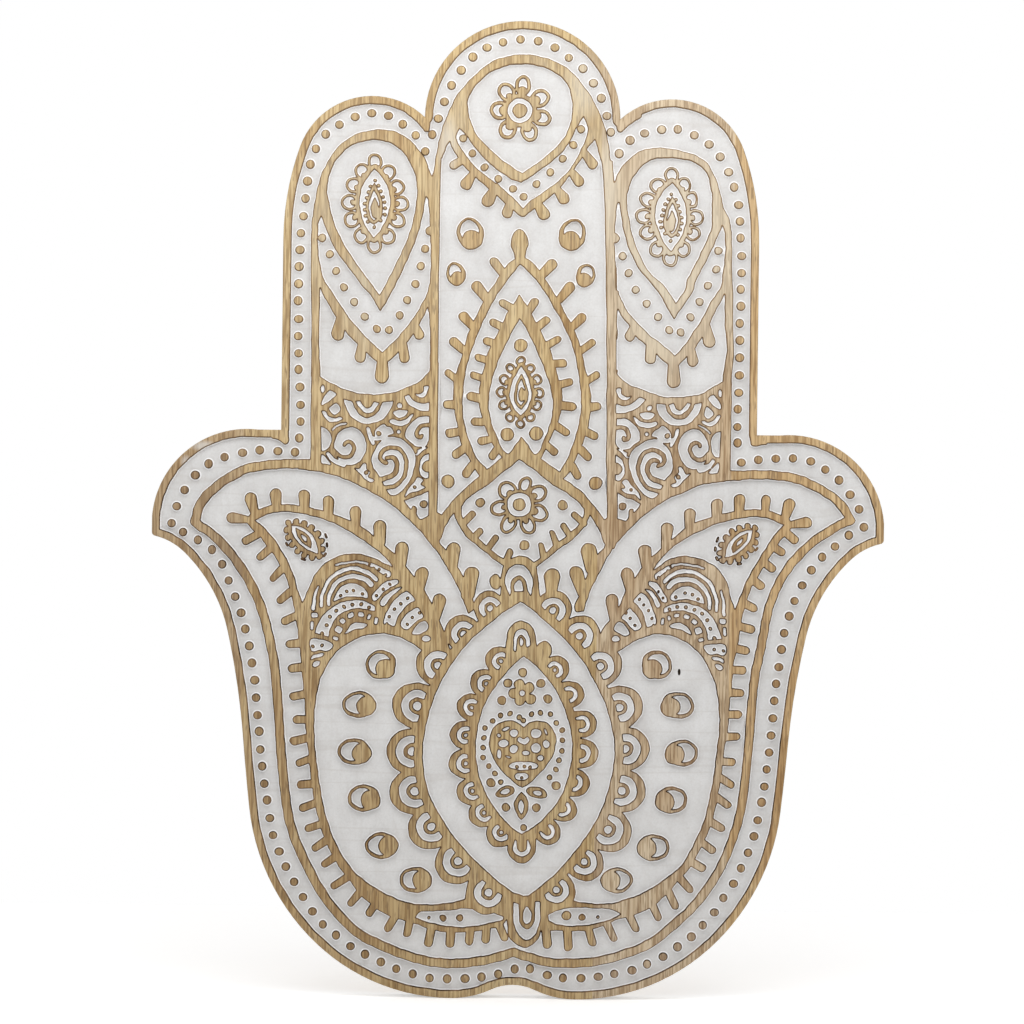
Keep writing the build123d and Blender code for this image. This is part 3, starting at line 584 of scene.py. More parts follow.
# Scrolls
# Curls, drops and small cuts sunk into the arch strip by hand with small gouges.
# Thin curls and round bosses are left standing inside the larger cuts.
clear_pair(
    oval(-120.8, 73, 1.3, 2.6),
    blob(
        (-121.5, 63), (-121, 66.5), (-117.8, 70.7), (-116, 72), (-112.3, 69.8), (-114.5, 67),
        (-118.2, 64.2)),
    blob((-116.8, 61), (-115, 58.2), (-112.6, 57.2), (-110, 59.1), (-110.3, 62.4), (-112.6, 64.5)),
    blob(
        (-121.2, 59), (-119.6, 55.4), (-116.4, 52.8), (-111.7, 52.8), (-108, 54.6), (-109.8, 55.8),
        (-113.1, 55.2), (-116.8, 56.3), (-118.7, 59.1)),
    shape(
        [(-108, 67), (-107, 62.8), (-104.7, 58.2), (-100.5, 54), (-94.9, 51.8), (-89.3, 52.1),
         (-84.2, 54.4), (-80, 59.1), (-78.1, 63.3), (-77, 66.1)],
        [(-77, 66.1), (-84.2, 65)],
        [(-84.2, 65), (-86.1, 60), (-89.3, 57), (-93.5, 55.6), (-97.7, 57), (-100.5, 61), (-102.4, 65.6)],
        [(-102.4, 65.6), (-108, 67)]),
    shape(
        [(-100.5, 65.6), (-97.7, 61), (-94, 58.4), (-89.3, 59.6), (-86, 64.5)],
        [(-86, 64.5), (-89.3, 65.6)],
        [(-89.3, 65.6), (-91.2, 62.4), (-94, 61.4), (-96.3, 63.8), (-97.7, 66)],
        [(-97.7, 66), (-100.5, 65.6)]),
    oval(-73.5, 63, 1.8),
    blob((-77.5, 58.5), (-75, 60.3), (-69, 60.5), (-68.7, 58.5), (-71, 56.3), (-74.5, 55.7)),
    blob(
        (-80, 53.5), (-79, 52.1), (-73.5, 50.7), (-68.3, 52.1), (-65.5, 55.8), (-65, 58.2), (-66.5, 57.7),
        (-69.7, 54.9), (-74.4, 54), (-78.1, 54.9)),
    blob((-64.6, 70.8), (-61.4, 68), (-57.6, 69.4), (-55.6, 75), (-58.6, 75), (-59, 71.7), (-62.3, 70.3)),
    shape(
        [(-70.7, 68.9), (-68.8, 65.2), (-65, 61.9), (-60.4, 60.2), (-55.3, 60)],
        [(-55.3, 60), (-55.3, 65.6)],
        [(-55.3, 65.6), (-60.4, 64.7), (-65, 66.6), (-67.9, 69.8), (-70.7, 68.9)]),
    shape([
        (-55.3, 56.8), (-60.4, 56.8), (-64.2, 54.4), (-67.9, 50.7), (-69.7, 47), (-69.3, 42.3), (-66, 39),
        (-60.4, 37.8), (-56.7, 39), (-55.1, 42.3)]),
    band(smooth([(-92.8, 48.8), (-91.5, 44.5), (-89.3, 40)]), 2.6),
    band(smooth([(-91, 43.5), (-87, 42.7), (-83.8, 43.2)]), 2.2),
    blob(
        (-88.8, 46.5), (-86.5, 50), (-83, 52), (-80.8, 50.3), (-78.5, 49.5), (-76.5, 46.3), (-80, 44.8),
        (-84, 42.8), (-88, 43.5)),
    oval(-73.7, 47.2, 1.3),
    shape(
        [(-121.5, 50), (-118, 48.5), (-115.8, 45.5), (-115, 41.5), (-116, 37.5), (-118.5, 35.3),
         (-121.4, 34.6)],
        [(-121.4, 34.6), (-121.5, 50)]),
    band(smooth([(-114.3, 47.9), (-111, 50.6), (-106.3, 52)]), 1.5), oval(-103.5, 38, 10, 11.7),
    band(smooth([(-117.3, 33), (-113.5, 29.3), (-107.5, 26.5)]), 2.4, end_width=3.4),
    blob((-121, 32.5), (-118, 30.5), (-115, 26.8), (-119, 26.7), (-121, 27.5)),
    blob(
        (-101.5, 25), (-98, 24), (-95.8, 27.2), (-93.6, 27.4), (-93.4, 24.5), (-91, 22), (-92, 19),
        (-88.5, 17.3), (-90.5, 15.6), (-94.5, 18), (-97, 21)),
    blob(
        (-90.3, 31), (-87, 38.5), (-82, 43), (-77.2, 44.2), (-70, 42), (-65, 37), (-63.2, 31),
        (-65, 20.9), (-69.7, 12.5), (-76.3, 8), (-80.9, 11), (-85.6, 20), (-89.3, 24.6)),
    shape(
        [(-55.1, 34.4), (-59, 32), (-60.9, 27.4), (-60.4, 21.8), (-57.6, 18.5), (-55.1, 19)],
        [(-55.1, 19), (-55.1, 34.4)]),
    blob((-63, 33), (-62.5, 36), (-56, 38.3), (-59, 35.5), (-62, 32.3)),
    blob(
        (-62, 19.5), (-58.5, 17.6), (-60, 14.7), (-57, 13), (-62, 10.5), (-66, 10), (-69.5, 7), (-69, 10),
        (-66.5, 13.5), (-64.5, 16)),
    shape(
        [(-70, 5), (-64, 7.3), (-60, 8.5), (-55, 11.3)], [(-55, 11.3), (-55, -4.5)],
        [(-55, -4.5), (-60, -6.3), (-62.5, -3), (-62.3, 0.5), (-64.5, 1.5), (-66, -0.3), (-70, 5)]))
keep_pair(
    band(
        smooth([
            (-54, 51.2), (-58.6, 51.2), (-61.4, 49.8), (-62.8, 47), (-62.3, 44.7), (-60.4, 43.7),
            (-59.7, 44.7)]),
        2.3),
    oval(-86.2, 46, 1.5), oval(-93.4, 22, 1.2),
    band(smooth([(-71.5, 43.2), (-68, 40.8), (-64.8, 37.8), (-63, 34.5)]), 1.7),
    band(
        smooth([
            (-113.5, 35.5), (-109.8, 31.8), (-106, 31), (-102.8, 32.5), (-101.2, 35.8), (-101.9, 39),
            (-104.2, 40.5), (-106.5, 40), (-107.2, 38.6)]),
        2.1),
    band(
        smooth([
            (-85, 12.5), (-79, 13), (-74.4, 14.8), (-70.7, 19), (-69, 24.6), (-69.3, 30.2), (-71.6, 34.9),
            (-75.3, 37.2), (-80, 37.2), (-83.7, 34.9), (-85.1, 32), (-84, 29.3), (-81, 28)]),
        2.3),
    band(
        smooth([
            (-81, 31), (-78, 31.5), (-75.3, 29.3), (-74.6, 25.5), (-76.3, 21.3), (-80, 19), (-87, 17.2)]),
        2.2, end_width=3.2),
    oval(-55.8, 26, 3.6), oval(-63.5, 13.3, 1.0), oval(-58, 3, 2.3))

# Band round the palm and thumbs
# A raised band, a little over five millimetres wide, from the foot of each side finger out along the thumb,
# back from the thumb's tip and down to the foot of the palm. The two sides were cut by eye and differ.
keep(band(
    smooth([
        (-124, 26.6), (-141.6, 26.7), (-155, 25.6), (-167, 23.3), (-175, 19.3), (-182.3, 14.7),
        (-190.4, 7.5), (-195.5, 0.5), (-198.4, -9.5)]),
    5.4))
keep(band(
    smooth([
        (-198.4, -9.5), (-193, -13.5), (-187.3, -17.3), (-177.2, -27.5), (-167, -41.5), (-158.9, -57),
        (-154.5, -70), (-150.8, -85), (-148, -100.5), (-145.4, -130), (-142.9, -160), (-139.5, -186),
        (-134, -205), (-123.3, -227), (-112.5, -243.6), (-96.5, -260), (-80, -268.6), (-65, -274.3),
        (-50, -278), (-35, -278.8), (-20, -277.1), (-10, -274.8), (0, -271.5)]),
    5.4))
keep(band(
    smooth([
        (125, 22.2), (135, 22.8), (145, 23.2), (152, 23.2), (160, 22.7), (170, 21.2), (180, 17.4),
        (190, 12), (198, 5.5), (204.2, -4)]),
    5.2))
keep(band(
    smooth([
        (204.2, -4), (199, -6.2), (190, -11.5), (180, -18.6), (170, -28.8), (165, -35.5), (160, -44.3),
        (155, -57), (152.7, -67), (151.2, -76), (149, -88), (146.5, -100), (144.6, -120), (142.5, -150),
        (139.2, -180), (134, -200), (125.7, -220), (113, -239), (100.3, -251.8), (85, -264.5),
        (70, -271.2), (50, -276.7), (25, -277.8), (10, -274.5), (0, -271.5)]),
    5.2))

# Wings
# A raised wing stands on each side of the palm, with drops along its upper edge.
# Short teeth run down its outer edge; they are spaced by eye and differ from side to side.
keep_pair(shape(
    [(-167, -9), (-163, -3.6), (-152, 0.9), (-140, 1.6), (-130, 0.4), (-118, -2.6), (-100, -9),
     (-90, -16), (-80, -24), (-72, -31.5), (-63.6, -41.2), (-57.7, -48.4), (-53, -57.3), (-45, -74)],
    [(-45, -74), (-20, -150), (-3, -250)],
    [(-3, -250), (-8, -255.3), (-16.5, -257.4), (-26, -259), (-40, -259.5), (-50, -258), (-60, -254.7),
     (-76, -250), (-85, -245), (-91, -240), (-96, -235), (-101, -228), (-107.5, -220), (-113, -210),
     (-117.5, -200), (-120.5, -190), (-123, -180), (-124.5, -170), (-126, -160), (-127, -150),
     (-128.8, -135), (-129.5, -120), (-131, -105), (-132.5, -90), (-134.5, -75), (-137, -60), (-139, -52),
     (-141, -45), (-145, -37), (-148.5, -31), (-153.5, -24), (-158, -18.5), (-162.5, -14), (-167, -9)]))
keep_pair(*pegs([
    (-162, -2.5, -164.3, 5.2, 2.8, 3.7), (-148.3, 0.5, -149, 8, 2.7, 3.4),
    (-131, -0.5, -131.5, 7.3, 2.8, 3.6), (-116.3, -4, -116.5, 3.8, 2.8, 3.5),
    (-99.5, -10, -100, -2.3, 2.8, 3.5), (-84.5, -21, -84.7, -11, 3.2, 3.8),
    (-71.8, -34, -71, -24.5, 3.4, 4.0), (-60.5, -49, -58.5, -39.8, 3.4, 4.0),
    (-50, -66, -47.5, -56, 3.2, 4.0), (-166, -8, -175.5, -7, 2.2, 3.3)]))
keep(pegs([
    (-160, -17, -167, -21, 2.5, 2.3), (-152.5, -26, -157.8, -30.5, 2.5, 2.3),
    (-145, -38.5, -149.7, -43.5, 2.4, 2.2), (-139.5, -52, -145.3, -57, 2.4, 2.2),
    (-135.5, -66.5, -142.5, -70, 2.5, 2.3), (-133.5, -83.2, -139.5, -84, 2.5, 2.4),
    (-131, -98, -137.5, -98.7, 2.6, 2.6)]))
keep(pegs([
    (163, -11, 169.8, -16.6, 2.5, 2.5), (155, -19.5, 161.7, -23.9, 2.5, 2.5),
    (149.5, -29, 156, -34.2, 2.5, 2.5), (143.5, -40.5, 149.5, -45, 2.5, 2.5),
    (138, -55, 145.1, -58.7, 2.5, 2.5), (136, -69.5, 143.7, -71.7, 2.5, 2.5),
    (134.5, -83.5, 140.8, -84.7, 2.5, 2.5), (132, -96.8, 138.7, -96.8, 2.5, 2.6)]))
keep(pegs([
    (-129.5, -114.7, -136.8, -116, 2.5, 2.4), (-127.5, -130, -134.3, -130.3, 2.5, 2.5),
    (-127, -141.3, -136, -143.5, 2.5, 2.5), (-126, -154, -132.7, -157, 2.3, 2.2),
    (-124.5, -169.5, -131.3, -170, 2.5, 2.5), (-122.5, -181.5, -130, -184.5, 2.4, 2.3),
    (-118.5, -194, -126.5, -197, 2.3, 2.2), (-115.5, -204, -122, -208.8, 2.4, 2.3),
    (-109, -213.8, -116, -218.5, 2.3, 2.2), (-101.5, -226, -110.3, -232, 2.2, 2.1),
    (-94.8, -236.5, -99.8, -242.5, 2.3, 2.2), (-85.5, -243.5, -88.5, -248.7, 2.3, 2.2),
    (-73, -251, -77, -257.5, 2.4, 2.3), (-63.7, -253.5, -65.3, -260.5, 2.4, 2.3),
    (-50.2, -257.5, -52, -266.5, 2.5, 2.5), (-38.4, -258.5, -39, -266.5, 2.6, 2.6),
    (-26.4, -258, -27, -265, 2.5, 2.5), (-16.4, -256, -17, -264, 2.4, 2.4),
    (-9, -254.5, -5.5, -262.5, 2.4, 2.4)]))
keep(pegs([
    (19.8, -255.5, 21, -266.5, 2.6, 2.6), (33, -257, 33.8, -268, 2.5, 2.5),
    (46, -256, 48.8, -265, 2.4, 2.4), (57, -252.5, 61.5, -262, 2.4, 2.3),
    (70.5, -247, 75, -256, 2.4, 2.3), (84.5, -240, 88.5, -249, 2.4, 2.3),
    (94.5, -232.5, 99, -242, 2.4, 2.3), (102, -225, 108, -231.5, 2.4, 2.3),
    (109, -215, 115.5, -218.5, 2.4, 2.3), (115.5, -203, 121.5, -207.5, 2.4, 2.3),
    (120, -190, 127, -194, 2.4, 2.3), (124, -175, 130.5, -179.5, 2.4, 2.3),
    (126, -163, 132.5, -167, 2.4, 2.3), (127, -152.8, 133, -153.5, 2.4, 2.3),
    (128.5, -138, 135.5, -137.5, 2.5, 2.4), (129.5, -124, 136.5, -124, 2.5, 2.4),
    (131, -110.5, 137.5, -111, 2.5, 2.4)]))

# Wing leaf, mandorla and fan
# A sunk leaf in the upper corner of each wing holds a small scalloped mandorla, and a fan opens below it.
# The fan is cut into the standing wood as arcs, squarish cells and strips, some with dots in them.
squarish = 0.5
fan_cells = (
    (-109.3, -74.6, 2.3, 2.1, -25), (-106.9, -69.3, 1.8, 1.6, 40), (-102, -65.8, 1.9, 1.7, 20),
    (-95.8, -65.2, 1.9, 1.5, 0), (-90.8, -66.7, 1.2, 1.7, -20), (-86.5, -69, 1.2, 2.1, -5),
    (-111.2, -80, 1.8, 1.2, -15), (-124.2, -66, 2.1, 1.7, 0), (-125.6, -72.5, 1.1, 2.9, 0))
clear_pair(shape(
    [(-161.5, -8), (-155, -5), (-148, -3), (-140, -2.8), (-130, -4.3), (-118, -7.5), (-107.7, -12),
     (-94.2, -20), (-81.4, -29.8), (-75.5, -36.6)],
    [(-75.5, -36.6), (-90, -46), (-100, -60), (-131, -61)],
    [(-131, -61), (-135, -50), (-138, -40), (-143, -30), (-148, -22), (-155, -13.5), (-161.5, -8)]))
scallops = [
    (-141, -9.5), (-136, -8.6), (-131, -9.8), (-126.5, -12.2), (-122.8, -16), (-120.5, -20.5),
    (-119.8, -25.5), (-121.5, -30), (-126, -30.6), (-130.8, -29.3), (-135, -26.8), (-138.6, -23),
    (-141, -18.5), (-142, -13.8)]
keep_pair(
    blob(
        (-140.5, -11), (-136, -9.8), (-130, -11.3), (-124.5, -15.3), (-121.2, -20.5), (-120.6, -27),
        (-122.5, -29.6), (-127, -29.5), (-133.5, -26.3), (-138.3, -21.3), (-140.8, -15.5)),
    *[oval(x, z, 1.9) for x, z in scallops])
clear_pair(shape([(-139.3, -10.8), (-138.4, -15.7), (-135, -21), (-129.6, -25.7), (-122.5, -28.3)],
                 [(-122.5, -28.3), (-123.2, -22.5), (-126.5, -16.6), (-132, -12.4), (-139.3, -10.8)]))
keep_pair(shape(
    [(-136.6, -12.8), (-135.2, -17.4), (-131.7, -21.8), (-126.8, -25.2)],
    [(-126.8, -25.2), (-126.8, -20.5), (-130.2, -15.9), (-136.6, -12.8)]))
clear_pair(shape(
    [(-133.2, -15.8), (-132.2, -18.8), (-129.3, -21.6)],
    [(-129.3, -21.6), (-129.6, -18.4), (-133.2, -15.8)]))
keep_pair(
    band([(-118.3, -16), (-117.6, -18.2)], 1.1), band([(-117, -22), (-116.9, -24)], 1.1),
    band([(-118, -28.2), (-119, -30)], 1.1), band([(-130.5, -32.3), (-132.5, -31.7)], 1.1),
    band([(-141.3, -23.6), (-142.4, -22)], 1.1))
keep_pair(shape(
    [(-132.5, -61), (-131, -57), (-128, -50), (-124.5, -42), (-119, -35), (-112, -30.5), (-104, -28.3),
     (-97, -28.3), (-90, -30), (-83, -33), (-75, -37)],
    [(-75, -37), (-60, -60), (-60, -90), (-120, -105), (-132.5, -61)]))
clear_pair(
    band(smooth([(-111.5, -35.2), (-106, -33.8), (-100, -33), (-93.4, -33.5)]), 1.5),
    band(smooth([(-93.4, -33.6), (-87, -36), (-81.5, -39.1), (-79.6, -40.5)]), 1.9, end_width=4.2),
    band(smooth([(-125, -62), (-124.3, -55), (-122.3, -48.5)]), 2.6, end_width=1.4),
    band(
        smooth([
            (-120.2, -60.5), (-119.7, -54), (-116.5, -46), (-111.5, -40.8), (-105, -37.6), (-99, -37.2),
            (-92, -39.5), (-86.5, -43.5)]),
        2.2, end_width=2.8),
    band(
        smooth([
            (-115.8, -59.3), (-115.2, -54), (-112.6, -48.2), (-108.4, -44), (-102, -42), (-96, -42.6),
            (-92.5, -44.3), (-89.8, -46.8)]),
        2.3, end_width=3.5),
    blob(
        (-112.5, -56), (-109, -49), (-103, -46.3), (-98, -46.5), (-93.5, -49.5), (-91.5, -53),
        (-92.3, -55.2), (-98, -54.5), (-104, -54.5), (-111.5, -57)),
    shape(
        [(-124, -77), (-121, -69), (-117, -64), (-112, -60), (-106, -57.5), (-99, -56.3), (-92, -57.5),
         (-87, -60.5)],
        [(-87, -60.5), (-87, -63.5)],
        [(-87, -63.5), (-94, -61.8), (-101, -62), (-107, -64.3), (-111.5, -68.5), (-114, -73.5),
         (-115.5, -79.5)],
        [(-115.5, -79.5), (-124, -77)]),
    *[oval(*each, squarish) for each in fan_cells],
    blob(
        (-105.5, -77.5), (-102, -72), (-97, -70), (-91.5, -71.5), (-94, -73.7), (-99, -74.3),
        (-102, -76)),
    blob((-126.5, -81), (-120, -80.7), (-112.5, -84), (-116, -88), (-121, -87.5), (-126, -88)),
    blob(
        (-126.1, -92.4), (-124.7, -90.2), (-118.6, -89.3), (-119.2, -91.5), (-123, -92.3),
        (-125.6, -93.2)),
    blob((-125.2, -96.8), (-124.1, -94.6), (-120.4, -94.2), (-120.9, -96.8), (-123.6, -98)),
    blob(
        (-73.6, -43.4), (-73.2, -46), (-78.1, -48.6), (-82.5, -52.2), (-85.4, -56), (-88.3, -56.8),
        (-89.2, -54), (-86.8, -50.4), (-83.6, -47.1), (-79.2, -44.5)),
    blob(
        (-70.4, -48.2), (-73.7, -51), (-78, -55.2), (-81, -59.2), (-83.4, -60), (-84.2, -57.6),
        (-80.6, -53), (-75.9, -49.6)),
    blob(
        (-82, -70.4), (-80.7, -65.4), (-77.5, -59), (-73.2, -54.2), (-69.6, -51.4), (-67, -51),
        (-62.8, -56), (-66.8, -58.7), (-71.2, -63.4), (-73.8, -68.5), (-75.2, -72), (-79.2, -71.2)),
    blob(
        (-71.5, -71.5), (-68.5, -65.5), (-64, -62), (-60.5, -60.5), (-58.5, -64), (-57.5, -66.5),
        (-61.5, -69), (-65, -72.5), (-68, -74.5)),
    blob(
        (-64.5, -76), (-61, -71), (-57, -68.8), (-54.5, -70.5), (-54.3, -73.5), (-57, -75.8),
        (-61, -77.5)),
    oval(-55.5, -79.5, 2.7, 2))
keep_pair(*[
    oval(x, z, 0.8 * r)
    for x, z, r in (
        (-91, -34.3, 0.9), (-88.5, -37, 1.0), (-85, -37.3, 1.0), (-81, -41, 1.2), (-108.4, -53.8, 1.2),
        (-104.8, -51.3, 1.2), (-100.5, -50.5, 1.2), (-95, -52.8, 1.2), (-119.3, -77, 1.4),
        (-116.7, -72, 1.4), (-114.6, -66.8, 1.4), (-111, -63.3, 1.4), (-106.2, -60.7, 1.4),
        (-101, -59.2, 1.4), (-95.5, -59, 1.4), (-90.8, -60.7, 1.3), (-125, -85, 1.2),
        (-119.3, -84.5, 1.3), (-86.2, -53.7, 1.1), (-82.4, -49.8, 1.1), (-78.2, -46.5, 1.1),
        (-67.2, -54.8, 1.2), (-71.3, -58.3, 1.2), (-75.3, -61.8, 1.2), (-78.3, -66.5, 1.2),
        (-80, -70.8, 0.9), (-60, -63.7, 1.1), (-64.2, -66.7, 1.1), (-67.3, -71, 1.1))])

# Moons beside the palm
# Six moons lie in a sunk crescent down the inner side of each wing, each a raised ring with a boss in it.
# At the foot two sunk slots with small dots lie below the crescents.
clear_pair(shape(
    [(-60, -85.5), (-66, -81.5), (-73, -78.5), (-81, -76.8), (-89, -77.3), (-97, -79.5), (-105, -84),
     (-112, -90), (-116.5, -97), (-120.3, -105), (-122.3, -114), (-123.6, -124), (-123.8, -134),
     (-123.2, -146), (-121.8, -158), (-119.8, -171), (-117.3, -184), (-113, -198), (-107.5, -210),
     (-101, -220), (-95, -226), (-87, -232), (-78, -237), (-68, -241), (-60, -242.7), (-50, -242.9),
     (-40, -241.8), (-30, -239.5)],
    [(-30, -239.5), (-25, -200), (-40, -150), (-40, -100), (-60, -85.5)]))
for x, z, wide, tall, tilt, ix, iz in (
    (-83.3, -95.8, 9.3, 8.6, 20, -80.5, -98.5), (-96.5, -120.5, 10, 8, 5, -91.8, -121.5),
    (-99, -149.5, 10, 8, 0, -94.3, -150.5), (-92.7, -178, 9.8, 8.1, 0, -88.5, -179),
    (-81.5, -207, 10, 8, 0, -77.3, -207), (-60.3, -227.8, 9.8, 7.8, 0, -56.3, -228)):
    keep_pair(oval(x, z, wide, tall, tilt))
    clear_pair(oval(x - 0.6, z + 0.2, wide - 2.3, tall - 2.0, tilt))
    keep_pair(oval(ix, iz, 6.0))
clear(shape(
    [(-60.5, -251), (-57, -247.3), (-45, -246.5), (-35, -245.6), (-30, -244.8), (-18, -246),
     (-6, -249.5)],
    [(-6, -249.5), (-6, -251.5)],
    [(-6, -251.5), (-15, -254), (-25, -256), (-35, -256.5), (-45, -255.3), (-55, -253), (-60.5, -251)]))
clear(shape(
    [(66, -247.5), (60, -244.5), (48, -243.8), (38, -243.5), (28, -245), (21, -248.5)],
    [(21, -248.5), (21.5, -252)],
    [(21.5, -252), (28, -254.5), (38, -255), (50, -253.5), (60, -250.5), (66, -247.5)]))
keep(
    oval(-52, -250.7, 0.9), oval(-43.2, -251, 2.0), oval(-33, -250.8, 2.0), oval(32.5, -248.7, 2.8),
    oval(42, -249.7, 2.0), oval(51.7, -249.5, 1.0))

# Strips from the eye
# Two raised strips run from the corners of the eye down to the palm, with round pegs on their inner side.
# Between them an arched petal with a moat and a hole stands on the tip of the palm almond.
keep(shape(
    [(-62, -11), (-50, -25.5), (-45, -33), (-40, -41), (-36, -48.5), (-33, -55.5), (-30, -64)],
    [(-30, -64), (-26, -60), (-28, -54), (-33.5, -41.5), (-38, -33), (-44, -25), (-47.6, -21),
     (-48.7, -17), (-47.5, -11), (-44.5, -5)],
    [(-44.5, -5), (-52, -2), (-62, -11)]))
keep(shape(
    [(70, -8), (66, -12.5), (60, -20.5), (55, -28.5), (50, -38.5), (46, -46), (43, -54), (41, -61.5)],
    [(41, -61.5), (36, -62), (35.5, -58), (39, -50.5), (42.5, -40.5), (45, -35), (50, -25.8), (53, -22.5),
     (53.8, -18.5), (51.5, -12.5), (48, -7.5)],
    [(48, -7.5), (58, -4), (70, -8)]))
keep(
    pegs([
        (-40, -35.5, -39.3, -24.7, 3.2, 4.2), (-30.5, -52, -27.9, -39.7, 4.2, 4.5),
        (46, -35, 43.5, -24.4, 4.4, 4.6), (40, -50, 36.2, -38.6, 3.4, 4.4),
        (21, -49, 21.3, -40.7, 3.4, 4.9)]),
    oval(-13.5, -44.3, 3.5, 4.6))
keep(shape(
    [(-10.5, -60), (-10, -45), (-9.6, -38), (-7, -32), (-2, -29), (2, -28.4), (6.5, -29.3), (10.5, -33),
     (12.3, -39), (13.3, -48), (15, -58)],
    [(15, -58), (2, -54), (-10.5, -60)]))
clear(shape(
    [(-4.3, -53.5), (-6.8, -48), (-7.6, -42), (-6, -37), (-2.5, -34.3), (1, -33.6), (5, -34.8),
     (8, -38.5), (9.6, -44), (9.1, -50), (8, -52.7)],
    [(8, -52.7), (6.4, -49), (5.6, -45), (3.5, -41.5), (1, -40.4), (-2, -41.8), (-3.9, -45.5),
     (-3.9, -50), (-4.3, -53.5)]))
clear(shape([(-2, -50), (-1.8, -46), (0.9, -42.8), (3.2, -45), (3.9, -50)], [(3.9, -50), (-2, -50)]))


# Petals round the palm
# Eighteen arched petals stand round the palm almond, each with a sunk moat and a holed ring inside it.
# A longer petal, drawn by itself, closes the row at the foot.
def petals(places, reach, half, moat, ring, hole):
    """A row of petals: an arch, a moat round a ring, and the ring's hole."""
    arc = np.linspace(-pi / 2, pi / 2, 17)

    def arch(x, z, direction, along, across, root, root_half):
        u = np.concatenate([[-root], along * np.cos(arc), [-root]])
        v = np.concatenate([[-root_half], across * np.sin(arc), [root_half]])
        c, s = cos(radians(direction)), sin(radians(direction))
        return np.stack([x + u * c - v * s, z + u * s + v * c], 1)

    for x, z, direction, scale in places:
        keep(arch(x, z, direction, reach * scale, half * scale, 10 * scale, half * scale))
    for x, z, direction, scale in places:
        clear(arch(x, z, direction, moat * scale, moat * scale, 0.9 * moat * scale, 0.72 * moat * scale))
    for x, z, direction, scale in places:
        keep(arch(x, z, direction, ring * scale, ring * scale, 1.3 * moat * scale, 1.15 * ring * scale))
    for x, z, direction, scale in places:
        if hole:
            clear(oval(x, z, hole * scale))


petals(
    [(-16.5, -60.5, 117, .7), (-32.5, -76.5, 135, .78), (-48, -96, 148, .9), (-60.5, -121, 165, 1),
     (-63.5, -149, 178, 1), (-61.5, -173.5, 190, 1), (-51, -195, 215, .95), (-34.5, -216, 225, .95),
     (-15.5, -235, 235, .9), (22, -61.5, 60, .8), (38.5, -77, 48, .85), (51.5, -95.3, 28, .88),
     (63.5, -120.5, 15, .93), (67.5, -146, 8, .95), (65.5, -171.5, -5, .95), (57.5, -195.5, -35, .95),
     (43, -215.5, -42, .8), (26, -233, -48, .8)],
    15.5, 14, 10, 5, 2.8)
keep(shape(
    [(-5, -236), (-4, -250), (-3, -260), (0, -265), (6, -268.3), (12, -266.5), (16, -261), (17.3, -250),
     (18, -236)],
    [(18, -236), (-5, -236)]))
clear(shape(
    [(0, -240), (-0.3, -250), (2, -259), (8, -264), (14, -259.5), (16.5, -250), (16, -240)],
    [(16, -240), (0, -240)]))
keep(shape(
    [(3.5, -236), (3.5, -249), (5, -255), (8.3, -257.2), (11.5, -255), (13, -249), (13, -236)],
    [(13, -236), (3.5, -236)]))
clear(blob((8, -243), (5.6, -248), (6.5, -253), (8.5, -254.2), (10.4, -252.5), (11, -247.5)))

# Palm almond
# Two raised almond bands lie one inside the other, with a row of small petals between them.
# The petals on the left have holes in their rings, those lower on the right have none.
outer_almond = shape(
    [(2, -56.5), (-5, -60.5), (-12, -66), (-20, -72.5), (-28, -80), (-35, -88), (-42, -98.5), (-48, -110),
     (-53, -124), (-56, -138), (-57, -150), (-55.5, -165), (-52, -177), (-46, -188), (-38, -200),
     (-28, -211.5), (-17, -222), (-8, -229.5), (0, -235), (6, -237)],
    [(6, -237), (10, -236), (17, -230.5), (27, -221.5), (36, -211), (44, -200), (51, -188.5), (56, -176),
     (59.5, -162), (61, -150), (60.5, -140), (58, -128), (54, -116), (48, -104.5), (42, -94), (35, -85),
     (25, -74.5), (15, -66), (7, -59), (2, -56.5)])
keep(band(outer_almond, 10.6, closed=True))
clear(outer_almond)
petals(
    [(-9.5, -93, 150, 1), (-18.5, -106.8, 160, 1), (-27, -121.5, 165, .95), (-30.5, -138.5, 180, 1),
     (-30.5, -156, 180, 1.05), (-26, -172.8, 190, 1), (-18.7, -186, 205, 1), (-8, -198, 220, 1),
     (23.5, -98, 35, .95)],
    9.8, 8.6, 5.6, 2.7, 1.3)
petals(
    [(32.5, -113, 10, .95), (40.5, -131, 5, .95), (40.5, -149, 0, 1.05), (36, -167, -5, 1),
     (29.5, -183, -25, .9), (20, -197, -45, .9), (4.5, -207, 270, 1)],
    9.8, 8.6, 5.6, 2.8, 0)
keep(oval(16.6, -86.3, 4.8, 6.0, -25))
keep(shape(
    [(-7, -92), (-6.3, -80), (-4, -72), (2.5, -68), (8.5, -71), (11.8, -79), (12.5, -92)],
    [(12.5, -92), (-7, -92)]))
clear(shape(
    [(-1.8, -86), (-2, -80), (-0.5, -75), (2.7, -72.8), (6, -74.5), (8.4, -79.5), (8.3, -83)],
    [(8.3, -83), (5.8, -84), (5.5, -79.5), (2.8, -76.5), (0.2, -80), (-0.2, -86.5), (-1.8, -86)]))
clear(blob((2.7, -78), (1.6, -81), (2.4, -83.6), (4, -82.7), (4, -80)))
